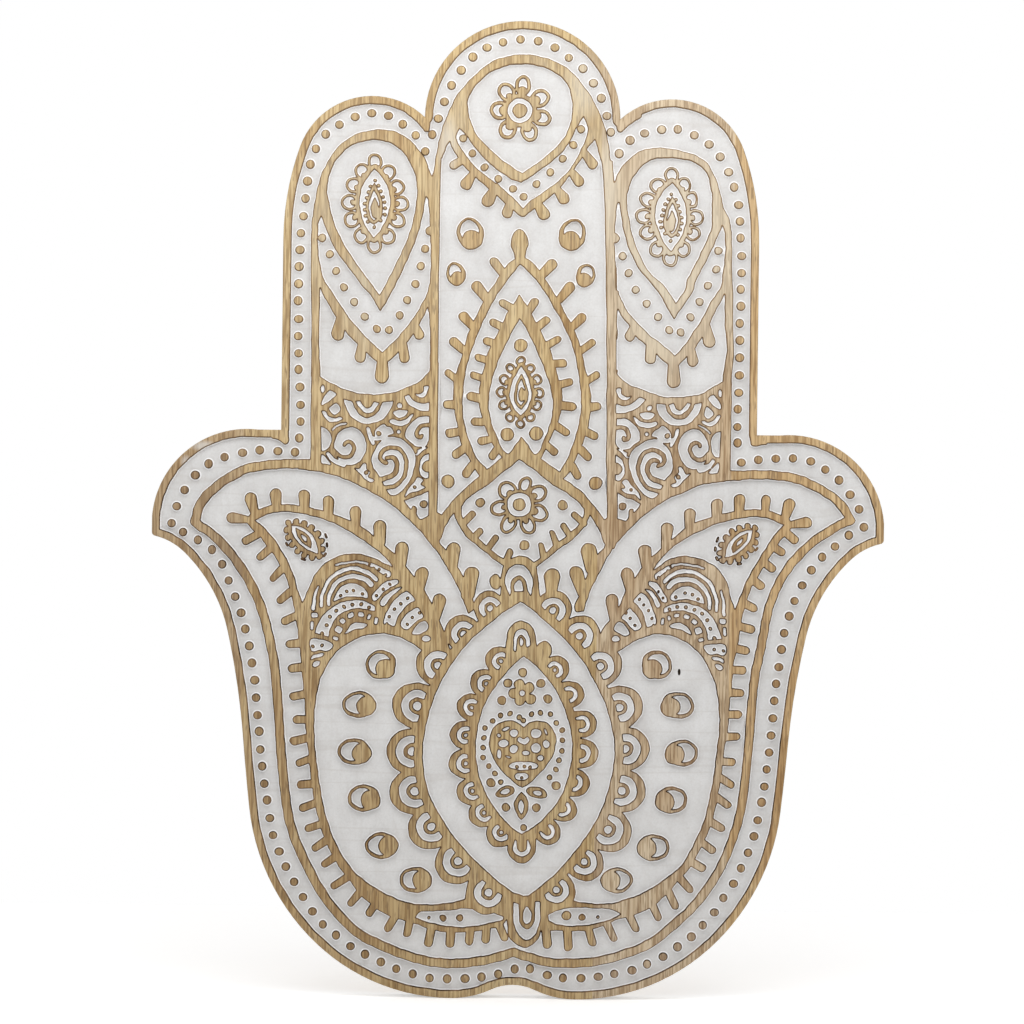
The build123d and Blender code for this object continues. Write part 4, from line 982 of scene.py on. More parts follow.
inner_almond = shape(
    [(4.5, -89.5), (0, -93.5), (-5, -98.5), (-10, -104.5), (-14.5, -111), (-18.5, -118), (-21.5, -126),
     (-23.5, -135), (-24.5, -145), (-24, -154), (-22, -164), (-18.5, -173), (-14, -181), (-8, -188.5),
     (-2, -195), (4.5, -199)],
    [(4.5, -199), (11, -195), (18, -189), (25, -181), (29.5, -173), (32.5, -164), (34.3, -155),
     (35, -147), (34.5, -138), (32, -128), (29, -119.5), (25, -111.5), (20, -104), (15, -98.5), (9, -93),
     (4.5, -89.5)])
keep(band(inner_almond, 9.4, closed=True))
clear(inner_almond)

# Heart panel
# The sunk middle of the palm holds a small flower, rows of dots and a raised heart with small cuts in it.
# Two hollow leaves, a hollow drop and three bosses stand below the heart.
keep(*dots([(2, -107), (8, -109), (9, -116), (2.5, -117), (-1.5, -112.5)], 3.2))
keep(oval(3.8, -112.4, 4.6))
clear(oval(3.6, -112.5, 1.9))
keep(*dots(
    [(4, -99.7), (-5, -106.5), (15, -106.3), (-8.7, -117.2), (19.5, -115.7), (-14.8, -167.7),
     (25.2, -169)],
    2.7))
keep(*dots(
    [(2.2, -127.3), (4.7, -129), (-3.5, -125), (-9.3, -126.3), (-14.3, -129.7), (-18.7, -134),
     (-19.5, -140), (-19.8, -146.2), (-19.8, -152.3), (-16.2, -157.3), (-12.5, -162), (-8.7, -167),
     (9.5, -125.3), (15.2, -124.3), (21.3, -125.3), (24.8, -130.3), (28.7, -135), (28.6, -141.2),
     (28.7, -147.5), (26.8, -153.3), (25, -159), (21.3, -164)],
    1.6))
keep(shape(
    [(5, -133.5), (1, -130.5), (-5, -129.3), (-11, -131.5), (-15, -137), (-16, -143.5), (-14.5, -150),
     (-11, -156.5), (-6, -162.5), (0, -167.5), (4.7, -170.5)],
    [(4.7, -170.5), (8.5, -168), (13, -163.5), (18.5, -157.5), (22.5, -151.5), (24.5, -145), (24.5, -138),
     (21, -132), (15, -129.3), (9, -130.5), (5, -133.5)]))
clear(
    oval(-6, -134.5, 2.5, 1.2, 15), oval(-1, -137, 2.7, 2.4), oval(-10.2, -138.3, 1.3),
    oval(12.5, -137, 3.4, 3), oval(18.5, -136, 0.8, 2.2, 25),
    blob((5, -140.5), (2.5, -139.3), (1, -141.3), (5, -144.2), (9, -141.3), (7.5, -139.3)),
    oval(-7.5, -143.5, 3.2, 2.5), oval(19, -143.5, 2.2, 2.5), oval(12.5, -146, 3.2),
    oval(-1, -146.7, 2.7), oval(6.5, -149, 2.5, 1.5), oval(-10, -150, 1.5, 3),
    oval(-4.5, -151.5, 2.0, 0.7, -20), oval(15.5, -152, 2, 1.7), oval(5, -157, 9, 2.7),
    oval(4, -163.5, 4.5, 2.4))
keep(oval(1.2, -157.7, 1.0), oval(5.5, -157.3, 1.0), oval(9, -158, 1.0), oval(4, -164.2, 0.9))
keep(
    oval(-6, -173, 6, 3.2, 20), oval(13.5, -173.3, 6.5, 3.3, -15),
    shape(
        [(4, -173), (0.8, -177), (-0.4, -182), (1.5, -187), (4, -190)],
        [(4, -190), (6.8, -187), (8.4, -182), (7.2, -177), (4, -173)]))
clear(
    oval(-6, -173, 3.2, 1.7, 20), oval(14, -173.7, 3, 1.6, -15),
    blob((4, -178), (2, -182), (3.8, -186.5), (6, -182)))
keep(oval(-5.5, -182.5, 2.5), oval(13.3, -182.8, 2.5), oval(5.5, -195, 2.0))

# Six boards
# The panel is glued up from six upright mango-wood boards, jigsawn to the hand and then carved.
# Each board is its own closed solid: carved face, whitewashed sawn sides and a raw back.
# Sizes are in millimetres; shares and levels run from 0, cut away, to 1, left standing.
top_height = 22.0
ground_height = 19.5
narrow_depth = 1.2
nick_x = 100.0
nick_z = -98.5
wall_softness = 0.28
foot_softness = 0.72
core_reach = 0.5
core_share = 0.6
regrow_reach = 0.45
regrow_share = 0.012
edge_step = 4.0
edge_rounding = ((0.0, 0.9), (0.28, 0.28), (0.85, 0.0))
grid_step = 5.0
seam_reach = 306.0
wall_levels = (0.12, 0.62, 0.95)
wall_rises = (0.0, 0.89, 1.0)


def blurred(field, reach):
    """The field softened by a bell curve of that reach in cells."""
    half = int(3 * reach) + 1
    bell = np.exp(-0.5 * (np.arange(-half, half + 1) / reach) ** 2)
    bell /= bell.sum()
    for axis in (0, 1):
        padded = np.pad(field, [(half, half) if a == axis else (0, 0) for a in (0, 1)], mode="edge")
        field = sum(w * np.take(padded, range(i, i + field.shape[axis]), axis) for i, w in enumerate(bell))
    return field


def contours(field, level):
    """Closed lines round the places above the level, in millimetres."""
    high, wide = field.shape
    above = field > level
    case = above[:-1, :-1] + 2 * above[:-1, 1:] + 4 * above[1:, 1:] + 8 * above[1:, :-1]
    row, col = np.nonzero((case > 0) & (case < 15))
    kind = case[row, col]
    below = row * wide + col
    side = {
        "low": 2 * below, "left": 2 * below + 1, "high": 2 * (below + wide), "right": 2 * (below + 1) + 1}
    turns = {
        1: [("low", "left")], 2: [("right", "low")], 3: [("right", "left")], 4: [("high", "right")],
        5: [("low", "right"), ("high", "left")], 6: [("high", "low")], 7: [("high", "left")],
        8: [("left", "high")], 9: [("low", "high")], 10: [("left", "low"), ("right", "high")],
        11: [("right", "high")], 12: [("left", "right")], 13: [("low", "right")], 14: [("left", "low")]}
    after = {}
    for number, pairs in turns.items():
        pick = kind == number
        for start, end in pairs:
            after.update(zip(side[start][pick].tolist(), side[end][pick].tolist()))
    lines = []
    while after:
        first, here = after.popitem()
        ids = [first]
        while here != first and here in after:
            ids.append(here)
            here = after.pop(here)
        ids = np.array(ids)
        upright = ids % 2
        r, c = np.divmod(ids // 2, wide)
        a, b = field[r, c], field[r + upright, c + 1 - upright]
        share = (level - a) / (b - a)
        lines.append(np.stack([board_left + (c + 0.5 + share * (1 - upright)) * cell,
                               board_low + (r + 0.5 + share * upright) * cell], 1))
    return lines


def thinned(line, slack):
    """The line with the points left out that lie within the slack of a straight run."""
    keepers = np.zeros(len(line), bool)
    far = int(np.argmax(((line - line[0]) ** 2).sum(1)))
    line = np.concatenate([line, line[:1]])
    spans = [(0, far), (far, len(line) - 1)]
    while spans:
        a, b = spans.pop()
        keepers[a] = True
        if b - a < 2:
            continue
        run = line[b] - line[a]
        off = line[a + 1:b] - line[a]
        length = max(1e-9, np.hypot(*run))
        gap = np.abs(off[:, 0] * run[1] - off[:, 1] * run[0]) / length
        worst = int(np.argmax(gap))
        if gap[worst] > slack:
            spans += [(a, a + 1 + worst), (a + 1 + worst, b)]
    return line[:-1][keepers]


def inset(line, depth):
    """The closed line moved inwards."""
    ahead = np.roll(line, -1, 0) - line
    ahead /= np.hypot(*ahead.T)[:, None]
    behind = np.roll(ahead, 1, 0)
    normal = np.stack([-(ahead + behind)[:, 1], (ahead + behind)[:, 0]], 1)
    normal /= np.hypot(*normal.T)[:, None]
    square = np.stack([-ahead[:, 1], ahead[:, 0]], 1)
    return line + normal * depth / np.maximum(0.5, (normal * square).sum(1))[:, None]


def without_slivers(field):
    """The field without the parts that are too thin for a chisel."""
    core = blurred(field, core_reach / cell) > core_share
    return np.where(blurred(core.astype(float), regrow_reach / cell) > regrow_share, field, 0.0)


carving = 1 - without_slivers(1 - without_slivers(carving))
relief = blurred(carving, wall_softness / cell)
# Open ground is cut to the full depth, narrow cuts less deep; slender ridges are darker than broad wood.
open_ground = blurred((blurred(carving, 1.1 / cell) < 0.03).astype(float), 1.8 / cell)
broad_wood = blurred((blurred(carving, 0.9 / cell) > 0.985).astype(float), 1.5 / cell)
points, rises, drops, pools_and_highlights, rims = [], [], [], [], []


def lay(spots, rise, drop=0.0, pool_and_highlight=0.0, ring=True):
    """Adds a ring of points: how far up the relief wall, how far sunk, and how much wash gathers there,
    made whiter as painted highlight.
    """
    first = sum(map(len, points))
    points.append(spots)
    for values, value in ((rises, rise), (drops, drop), (pools_and_highlights, pool_and_highlight)):
        values.append(np.zeros(len(spots)) + value)
    ids = np.arange(first, first + len(spots))
    if ring:
        rims.append(np.stack([ids, np.roll(ids, -1)], 1))


def sample(field, x, z):
    """The field's value at places in millimetres."""
    u = np.clip((x - board_left) / cell - 0.5, 0, columns - 1.001)
    v = np.clip((z - board_low) / cell - 0.5, 0, rows - 1.001)
    c, r = u.astype(int), v.astype(int)
    u, v = u - c, v - r
    return ((field[r, c] * (1 - u) + field[r, c + 1] * u) * (1 - v)
            + (field[r + 1, c] * (1 - u) + field[r + 1, c + 1] * u) * v)


def show(name, data):
    """A new object, put in the scene."""
    made = bpy.data.objects.new(name, data)
    bpy.context.scene.collection.objects.link(made)
    return made


steps = np.hypot(*(np.roll(outline, -1, 0) - outline).T)
count = np.maximum(1, np.round(steps / edge_step)).astype(int)
edge_line = np.concatenate([p + (q - p) * (np.arange(n) / n)[:, None]
                            for p, q, n in zip(outline, np.roll(outline, -1, 0), count)])
for depth, drop in edge_rounding:
    lay(inset(edge_line, depth), 1.0, drop)
# The wall rings are marked fully white at their foot, partly wash gathered in the corner and partly painted
# highlight.
for level, rise in zip(wall_levels, wall_rises):
    for line in contours(relief, level):
        line = thinned(line, 0.03)
        if len(line) > 2:
            lay(line, rise, 0.0, 1.0)
for line in contours(blurred(carving, foot_softness / cell), 0.06):
    line = thinned(line, 0.06)
    if len(line) > 2:
        lay(line, 0.0)
# A dark nick from a slipped tool lies beside the uppermost moon on the right of the palm.
lay(oval(nick_x, nick_z, 1.0, 2.2), 0.0)
lay(oval(nick_x, nick_z, 0.6, 1.75), 0.0, 1.3, -1.0)
inside = np.zeros_like(carving)
work([edge_line], 1.0, inside)
inside = blurred(inside, 1.5 / cell)
gx, gz = np.meshgrid(np.arange(-222, 223, grid_step), np.arange(-298, 299, grid_step))
gx = (gx + grid_step / 2 * (np.round(gz / grid_step) % 2)).ravel()
gz = gz.ravel()
wood_here = sample(relief, gx, gz)
flat = (wood_here < 0.01) | (wood_here > 0.99)
flat &= sample(inside, gx, gz) > 0.97
flat &= np.hypot(gx - nick_x, gz - nick_z) > 3
wave = np.sin(0.11 * gx + 0.7 * np.sin(0.05 * gz)) * np.sin(0.23 * gz + 0.4 * np.sin(0.09 * gx))
lay(np.stack([gx, gz], 1)[flat], np.round(wood_here[flat]), 0.03 + 0.03 * wave[flat], ring=False)
first = sum(map(len, points))
for x in seams:
    lay(np.array([(x, -seam_reach), (x, seam_reach)]), 1.0, ring=False)
    rims.append(np.array([(first, first + 1)]))
    first += 2
points, rises, drops, pools_and_highlights, rims = (np.concatenate(each) for each in (points, rises, drops, pools_and_highlights, rims))
flat_points, _, flat_faces, came_from, _, _ = delaunay_2d_cdt(
    [Vector(p) for p in points], rims.tolist(), [], 1, 1e-5)
flat_points = np.array([tuple(p) for p in flat_points])
x, z = flat_points.T
point_rise = np.interp(sample(relief, x, z), wall_levels, wall_rises)
point_drop, point_pool_and_highlight = np.zeros(len(x)), np.zeros(len(x))
for number, sources in enumerate(came_from):
    if sources:
        point_rise[number], point_drop[number], point_pool_and_highlight[number] = (
            each[sources[0]] for each in (rises, drops, pools_and_highlights))
ground = np.interp(sample(open_ground, x, z), (0.0, 0.08), (top_height - narrow_depth, ground_height))
point_height = ground + (top_height - ground) * point_rise - point_drop
point_slender = np.interp(sample(broad_wood, x, z), (0.0, 0.03), (1.0, 0.0))
flat_faces = np.array(flat_faces)
corners = flat_points[flat_faces]
ahead, aside = corners[:, 1] - corners[:, 0], corners[:, 2] - corners[:, 0]
turned = ahead[:, 0] * aside[:, 1] < ahead[:, 1] * aside[:, 0]
flat_faces[turned] = flat_faces[turned][:, ::-1]
board_of = np.searchsorted(seams, corners[:, :, 0].mean(1))
boards = []
for number, name in enumerate(board_names):
    faces = flat_faces[board_of == number]
    used, faces = np.unique(faces, return_inverse=True)
    faces = faces.reshape(-1, 3)
    pairs = np.concatenate([faces[:, [0, 1]], faces[:, [1, 2]], faces[:, [2, 0]]])
    span = len(used)
    key, twin = pairs[:, 0] * span + pairs[:, 1], pairs[:, 1] * span + pairs[:, 0]
    open_edges = pairs[~np.isin(key, twin)]
    after = dict(open_edges.tolist())
    loop = [int(open_edges[0, 0])]
    while after[loop[-1]] != loop[0]:
        loop.append(after[loop[-1]])
    x, z = flat_points[used].T
    front = np.stack([x, -point_height[used], z], 1)
    back = front[loop] * (1, 0, 1)
    vertices = np.concatenate([front, back]) / 1000
    size = len(loop)
    sides = [(loop[i], span + i, span + (i + 1) % size, loop[(i + 1) % size]) for i in range(size)]
    mesh = bpy.data.meshes.new("carved_" + name)
    mesh.from_pydata(
        vertices.tolist(), [], faces.tolist() + sides + [[span + i for i in reversed(range(size))]])
    mesh.polygons.foreach_set("use_smooth", np.ones(len(mesh.polygons), bool))
    kinds = np.zeros(len(mesh.polygons), np.int32)
    kinds[len(faces):] = 1
    kinds[-1] = 2
    mesh.polygons.foreach_set("material_index", kinds)
    for label, values in (("pooled_wash_and_highlight", point_pool_and_highlight), ("rise", point_rise), ("slender", point_slender)):
        kept = mesh.attributes.new(label, "FLOAT", "POINT")
        kept.data.foreach_set("value", np.concatenate([values[used], np.zeros(size)]).astype(np.float32))
    mesh.validate()
    mesh.set_sharp_from_angle(angle=radians(28))
    board = show("carved_" + name, mesh)
    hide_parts(name)
    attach(board, "panel")
    boards.append(board)


# Finish of the boards
# The top of the carving is sanded mango wood with upright grain, and the sunk ground is whitewashed.
# The relief walls show a dark brown line, varying at random and lighter towards the top, and the sawn sides
# are washed thinly.
def grow(tree, kind, inputs=None, **settings):
    """A new node in the tree; each input is a plain value or the output of another node."""
    made = tree.nodes.new(kind if "Node" in kind else "ShaderNode" + kind)
    for key, value in settings.items():
        setattr(made, key, value)
    for key, value in (inputs or {}).items():
        if isinstance(value, bpy.types.NodeSocket):
            tree.links.new(value, made.inputs[key])
        else:
            made.inputs[key].default_value = value
    return made


def stretch(tree, source, low, high, to_low=0.0, to_high=1.0):
    """A value moved from one range to another, and held inside it."""
    return grow(tree, "MapRange", {"Value": source, "From Min": low, "From Max": high,
                                   "To Min": to_low, "To Max": to_high}).outputs[0]


def blend_colours(tree, share, first, second, mode="MIX"):
    """Two colours blended by a share."""
    colours = {0: share, 6: first, 7: second}
    return grow(tree, "Mix", colours, data_type="RGBA", blend_type=mode).outputs[2]


def times(tree, first, second):
    """One value times another."""
    return grow(tree, "Math", {0: first, 1: second}, operation="MULTIPLY").outputs[0]


def larger(tree, first, second):
    """The larger of two values."""
    return grow(tree, "Math", {0: first, 1: second}, operation="MAXIMUM").outputs[0]


def scaled_place(tree, scale, move=(0, 0, 0)):
    """The place on the piece, scaled and then moved."""
    place = grow(tree, "TexCoord").outputs["Object"]
    return grow(tree, "Mapping", {"Vector": place, "Scale": scale, "Location": move}).outputs[0]


def speckle(tree, scale, detail=3.0, move=(0, 0, 0), rough=0.55):
    """Noise over the piece, its scale in cycles to the metre along x, y and z."""
    return grow(
        tree, "TexNoise",
        {"Vector": scaled_place(tree, scale, move), "Scale": 1.0, "Detail": detail,
         "Roughness": rough}).outputs["Fac"]


def new_finish(name, roughness):
    """A new material, with its node tree and its main shader."""
    made = bpy.data.materials.new(name)
    made.use_nodes = True
    shader = made.node_tree.nodes["Principled BSDF"]
    shader.inputs["Roughness"].default_value = roughness
    shader.inputs["Specular IOR Level"].default_value = 0.3
    return made, made.node_tree, shader


def ramp_of(tree, source, stops, steps=False):
    """A value turned into a colour by stops, blended between them or in steps."""
    made = grow(tree, "ValToRGB", {"Fac": source})
    made.color_ramp.interpolation = "CONSTANT" if steps else "LINEAR"
    while len(made.color_ramp.elements) < len(stops):
        made.color_ramp.elements.new(0.5)
    for element, (position, colour) in zip(made.color_ramp.elements, stops):
        element.position = position
        element.color = (*colour, 1)
    return made.outputs[0]


def add_bump(tree, shader, height, strength, distance):
    """Roughens the surface by a height, over a distance in metres."""
    made = grow(tree, "Bump", {"Height": height, "Strength": strength, "Distance": distance})
    tree.links.new(made.outputs[0], shader.inputs["Normal"])


def spot(tree, x, z, half_wide, half_tall):
    """One in the middle of an oval on the face, fading to nothing at its edge; millimetres."""
    place = scaled_place(tree, (1000 / half_wide, 0, 1000 / half_tall), (-x / half_wide, 0, -z / half_tall))
    far = grow(tree, "VectorMath", {0: place}, operation="LENGTH").outputs["Value"]
    return stretch(tree, far, 1.0, 0.35)


board_starts = [(x - board_left) / board_wide for x in (board_left, *seams)]
board_tones = (
    (0.56, 0.424, 0.258), (0.64, 0.488, 0.27), (0.648, 0.492, 0.264), (0.64, 0.488, 0.26),
    (0.66, 0.53, 0.365), (0.672, 0.492, 0.268))


def wood_colour(tree):
    """Sanded mango wood: a tone for each board, upright grain, dark pores."""
    place = grow(tree, "SeparateXYZ", {0: grow(tree, "TexCoord").outputs["Object"]})
    across = stretch(tree, place.outputs["X"], board_left / 1000, -board_left / 1000)
    tone = ramp_of(tree, across, list(zip(board_starts, board_tones)), steps=True)
    patch = speckle(tree, (34, 34, 11), 3.0, (4.4, 0, 8.3))
    tone = blend_colours(
        tree, stretch(tree, patch, 0.45, 0.66, 0.0, 0.75), tone, (0.80, 0.70, 0.60, 1), "MULTIPLY")
    figure = speckle(tree, (210, 210, 5), 3.0, (7.7, 0, 4.1))
    tone = blend_colours(
        tree, stretch(tree, figure, 0.42, 0.62, 0.0, 0.6), tone, (0.78, 0.71, 0.63, 1), "MULTIPLY")
    grain = speckle(tree, (780, 780, 42), 1.5, (6.1, 0, 2.7), 0.5)
    tone = blend_colours(tree, stretch(tree, grain, 0.42, 0.62), tone, (0.60, 0.53, 0.46, 1), "MULTIPLY")
    pores = speckle(tree, (1150, 1150, 110), 1.0, (0.4, 0, 9.2))
    tone = blend_colours(tree, stretch(tree, pores, 0.59, 0.66, 0.0, 0.65), tone, (0.22, 0.14, 0.075, 1))
    return place, across, tone, grain


carved_front, tree, shader = new_finish("carved_front", 0.7)
shader.inputs["Specular IOR Level"].default_value = 0.12
place, across, wood, grain = wood_colour(tree)
haze = speckle(tree, (30, 30, 12), 4.0, (2.2, 0, 0.3), 0.65)
hazy = spot(tree, 0, 205, 70, 100)
for side in (-1, 1):
    hazy = larger(tree, hazy, spot(tree, side * 92, 150, 48, 108))
haze = times(tree, stretch(tree, haze, 0.36, 0.66, 0.15, 1.0), stretch(tree, hazy, 0.0, 1.0, 0.08, 0.75))
wood = blend_colours(tree, haze, wood, (0.57, 0.505, 0.38, 1))
# Painted shade: from the eye downwards the wood is multiplied darker towards the bottom, most on the left,
# with a cooler grey in the middle.
painted_shade_tone = ramp_of(
    tree, across,
    [(0.0, (0.76, 0.73, 0.71)), (0.36, (0.76, 0.75, 0.74)), (0.47, (0.90, 0.93, 0.98)),
     (0.60, (0.91, 0.93, 0.96)), (1.0, (0.88, 0.85, 0.82))])
painted_shade_low = stretch(tree, place.outputs["Z"], 0.12, -0.16, 0.0, 0.85)
slender = grow(tree, "Attribute", attribute_name="slender").outputs["Fac"]
darker = times(tree, slender, stretch(tree, place.outputs["Z"], 0.10, 0.03))
wood = blend_colours(tree, darker, wood, (0.80, 0.77, 0.76, 1), "MULTIPLY")
wood = blend_colours(tree, painted_shade_low, wood, painted_shade_tone, "MULTIPLY")
for x, z, half_wide, half_tall, share, colour in (
    (-46, 222, 8, 24, 0.6, (0.68, 0.63, 0.54, 1)), (38, 262, 15, 26, 0.55, (0.64, 0.58, 0.47, 1)),
    (53, 200, 8, 42, 0.5, (0.70, 0.63, 0.51, 1)), (-193, 37, 9, 4, 0.7, (0.66, 0.63, 0.58, 1)),
    (-204, 27, 4, 5, 0.6, (0.62, 0.59, 0.55, 1)), (75.4, 239, 2.6, 11, 0.75, (0.17, 0.085, 0.045, 1)),
    (-176, -30, 16, 30, 0.45, (0.20, 0.135, 0.085, 1)), (-187, 8, 22, 16, 0.25, (0.20, 0.135, 0.085, 1)),
    (0, -2, 70, 48, 0.25, (0.28, 0.20, 0.11, 1)), (92, 160, 56, 110, 0.4, (0.70, 0.64, 0.52, 1))):
    wood = blend_colours(tree, times(tree, spot(tree, x, z, half_wide, half_tall), share), wood, colour)
mottle = speckle(tree, (60, 60, 45), 5.0, (1.0, 0, 5.0), 0.65)
wash = ramp_of(
    tree, mottle,
    [(0.30, (0.645, 0.635, 0.625)), (0.55, (0.705, 0.70, 0.692)), (0.75, (0.75, 0.745, 0.74))])
brushed = speckle(tree, (420, 420, 60), 3.0, (5.0, 0, 2.0))
wash = blend_colours(tree, stretch(tree, brushed, 0.5, 0.8, 0.0, 0.25), wash, (0.60, 0.58, 0.55, 1))
grit = speckle(tree, (900, 900, 900), 3.0, (0.7, 0, 0.9), 0.7)
wash = blend_colours(
    tree, stretch(tree, grit, 0.40, 0.68, 0.0, 0.4), wash, (0.82, 0.80, 0.78, 1), "MULTIPLY")
gouge = speckle(tree, (2.0, 2.0, 50), 1.5, (0.3, 0, 6.6))
gouge_line = ramp_of(
    tree, gouge,
    [(0.0, (0, 0, 0)), (0.484, (0, 0, 0)), (0.5, (1, 1, 1)), (0.516, (0, 0, 0)), (1.0, (0, 0, 0))])
wash = blend_colours(tree, times(tree, gouge_line, 0.30), wash, (0.54, 0.51, 0.48, 1))
# Painted highlight: the wash turns near white in a thin ring at the foot of every wall and bead, partly
# wash gathered in the corner and partly painted light against the shade there; a negative mark paints the
# nick near black instead.
pooled_wash_and_highlight = grow(tree, "Attribute", attribute_name="pooled_wash_and_highlight").outputs["Fac"]
wash = blend_colours(tree, stretch(tree, pooled_wash_and_highlight, 0.0, 0.8, 0.0, 0.95), wash, (0.97, 0.97, 0.97, 1))
wash = blend_colours(tree, stretch(tree, pooled_wash_and_highlight, -0.1, -0.7), wash, (0.045, 0.032, 0.02, 1))
wall = ramp_of(
    tree, speckle(tree, (95, 95, 75), 3.0), [(0.43, (0.04, 0.019, 0.009)), (0.63, (0.21, 0.124, 0.063))])
wall = blend_colours(
    tree, stretch(tree, place.outputs["Z"], -0.02, 0.14, 0.0, 0.55), wall, (0.36, 0.235, 0.125, 1))
rise = grow(tree, "Attribute", attribute_name="rise").outputs["Fac"]
top = stretch(tree, rise, 0.94, 0.995)
face = blend_colours(tree, stretch(tree, rise, 0.08, 0.20), wash, wall)
face = blend_colours(tree, top, face, wood)
tree.links.new(face, shader.inputs["Base Color"])
tree.links.new(stretch(tree, top, 0.0, 1.0, 0.85, 0.6), shader.inputs["Roughness"])
add_bump(tree, shader, blend_colours(tree, top, brushed, grain), 0.25, 0.0003)

washed_edge, tree, shader = new_finish("washed_edge", 0.8)
place, across, wood, grain = wood_colour(tree)
patch = speckle(tree, (24, 24, 30), 4.0, (8.0, 2.0, 1.0), 0.6)
wood = blend_colours(tree, stretch(tree, patch, 0.30, 0.52, 0.45, 0.93), wood, (0.76, 0.745, 0.72, 1))
tree.links.new(wood, shader.inputs["Base Color"])
add_bump(tree, shader, patch, 0.3, 0.0004)

raw_back, tree, shader = new_finish("raw_back", 0.75)
place, across, wood, grain = wood_colour(tree)
shades = [(shade, shade * 0.98, shade * 0.95) for shade in (0.80, 0.96, 0.86, 0.97, 0.90, 0.82)]
shades = list(zip(board_starts, shades))
glue_half = 0.4
endless = 100000
wood = blend_colours(tree, 1.0, wood, ramp_of(tree, across, shades, steps=True), "MULTIPLY")
for x in seams:
    wood = blend_colours(
        tree, times(tree, spot(tree, x, 0, glue_half, endless), 0.6), wood, (0.15, 0.10, 0.06, 1))
tree.links.new(wood, shader.inputs["Base Color"])
add_bump(tree, shader, grain, 0.35, 0.0004)
for board in boards:
    for each in (carved_front, washed_edge, raw_back):
        board.data.materials.append(each)


# Border beads
# A row of small round bosses left standing in the groove inside the rim, about ten millimetres apart.
# Each is the same wood as the board it stands on, sanded flat on top.
bead_pitch = 10.45
bead_stray = 0.0004
bead_seed = 7
bead_runs = (
    [(-1.8, 289), (-22.5, 284), (-38.5, 269), (-48.3, 250), (-55.3, 229.5), (-59.4, 219.5)],
    [(-65.3, 229.3), (-73.8, 236), (-82.5, 241.2), (-93, 242.8), (-103, 240.3), (-121.3, 228.5),
     (-130.5, 208.8), (-132.8, 186.3), (-136, 159), (-136.5, 120), (-135, 75.3), (-133.8, 53.3),
     (-134.8, 42.3)],
    [(-137.3, 33.8), (-159.3, 34.8), (-180.5, 30.4), (-198.5, 19.3), (-209.8, -0.3), (-212.5, -10.3)],
    [(-205.3, -15.8), (-186.8, -27.3), (-176.3, -46.5), (-165.8, -78), (-160.3, -110.5), (-157, -143.3),
     (-152.8, -176), (-145.8, -208.3), (-130.5, -236.8), (-118.3, -254), (-101, -267.8), (-81.8, -278.3),
     (-51.5, -287.8), (-19.5, -287.3), (1.4, -282)],
    [(10.8, -281.8), (32.3, -287.2), (64.5, -283.5), (84.8, -277), (110.8, -259.5), (130.8, -233.8),
     (145, -204.8), (154, -162.3), (158.3, -118.8), (163.8, -75.5), (174.3, -44.8), (186.8, -27.3),
     (203.5, -13.3), (212.3, -8.3)],
    [(209.3, 2.8), (196.8, 20), (179.5, 32), (158.5, 33.6), (136.4, 31)],
    [(134.3, 42.3), (134.4, 75.5), (135, 120), (135.4, 153.3), (133.3, 186.3), (127.3, 207.5),
     (115.3, 225), (96.3, 234.5), (75.3, 232.5), (66.3, 227.8), (59.3, 219)],
    [(54.5, 232.3), (48, 253), (36.3, 271.3), (19.3, 284), (9, 287.9)])
# The fourth value in each row is the near-white ring at the bead's foot, partly gathered wash and partly
# painted highlight.
bead_profile = ((1.85, 2.5, 1.0, 0.0, 1.0), (2.08, 2.44, 1.0, 0.0, 1.0), (2.26, 2.2, 0.89, 0.0, 1.0),
                (2.8, 0.25, 0.0, 1.0, 1.0), (3.75, -0.12, 0.0, 0.0, 1.0))
sides = 20
turn = [2 * pi * i / sides for i in range(sides)]
ring_points = [(r * cos(a) / 1000, -(ground_height + h) / 1000, r * sin(a) / 1000)
               for r, h, *_ in bead_profile for a in turn]
bead_faces = [list(range(sides))]
for level in range(len(bead_profile) - 1):
    for i in range(sides):
        j = (i + 1) % sides
        bead_faces.append((
            level * sides + j, level * sides + i, (level + 1) * sides + i, (level + 1) * sides + j))
bead_faces.append([(len(bead_profile) - 1) * sides + i for i in reversed(range(sides))])
bead_mesh = bpy.data.meshes.new("bead")
bead_mesh.from_pydata(ring_points, [], bead_faces)
for label, column in (("rise", 2), ("pooled_wash_and_highlight", 3), ("slender", 4)):
    kept = bead_mesh.attributes.new(label, "FLOAT", "POINT")
    kept.data.foreach_set("value", [row[column] for row in bead_profile for a in turn])
bead_mesh.polygons.foreach_set("use_smooth", [True] * len(bead_faces))
bead_mesh.set_sharp_from_angle(angle=radians(34))
bead = bpy.data.objects.new("bead", bead_mesh)
line_points, line_edges = [], []
for run in bead_runs:
    line = smooth(run)
    first = len(line_points)
    line_points += [(x / 1000, 0, z / 1000) for x, z in line]
    line_edges += [(first + i, first + i + 1) for i in range(len(line) - 1)]
bead_lines = bpy.data.meshes.new("bead_lines")
bead_lines.from_pydata(line_points, line_edges, [])
beads = show("border_beads", bead_lines)


def new_group(name, inputs):
    """A new geometry node group with these named inputs and one geometry output."""
    made = bpy.data.node_groups.new(name, "GeometryNodeTree")
    for label, kind in inputs:
        made.interface.new_socket(label, in_out="INPUT", socket_type="NodeSocket" + kind)
    made.interface.new_socket("Geometry", in_out="OUTPUT", socket_type="NodeSocketGeometry")
    return made


def end_group(group, pieces, finish):
    """Ends a group: the pieces are made real, given their material and handed out."""
    real = grow(group, "GeometryNodeRealizeInstances", {"Geometry": pieces})
    dressed = grow(group, "GeometryNodeSetMaterial", {"Geometry": real.outputs[0], "Material": finish})
    grow(group, "NodeGroupOutput", {"Geometry": dressed.outputs[0]})


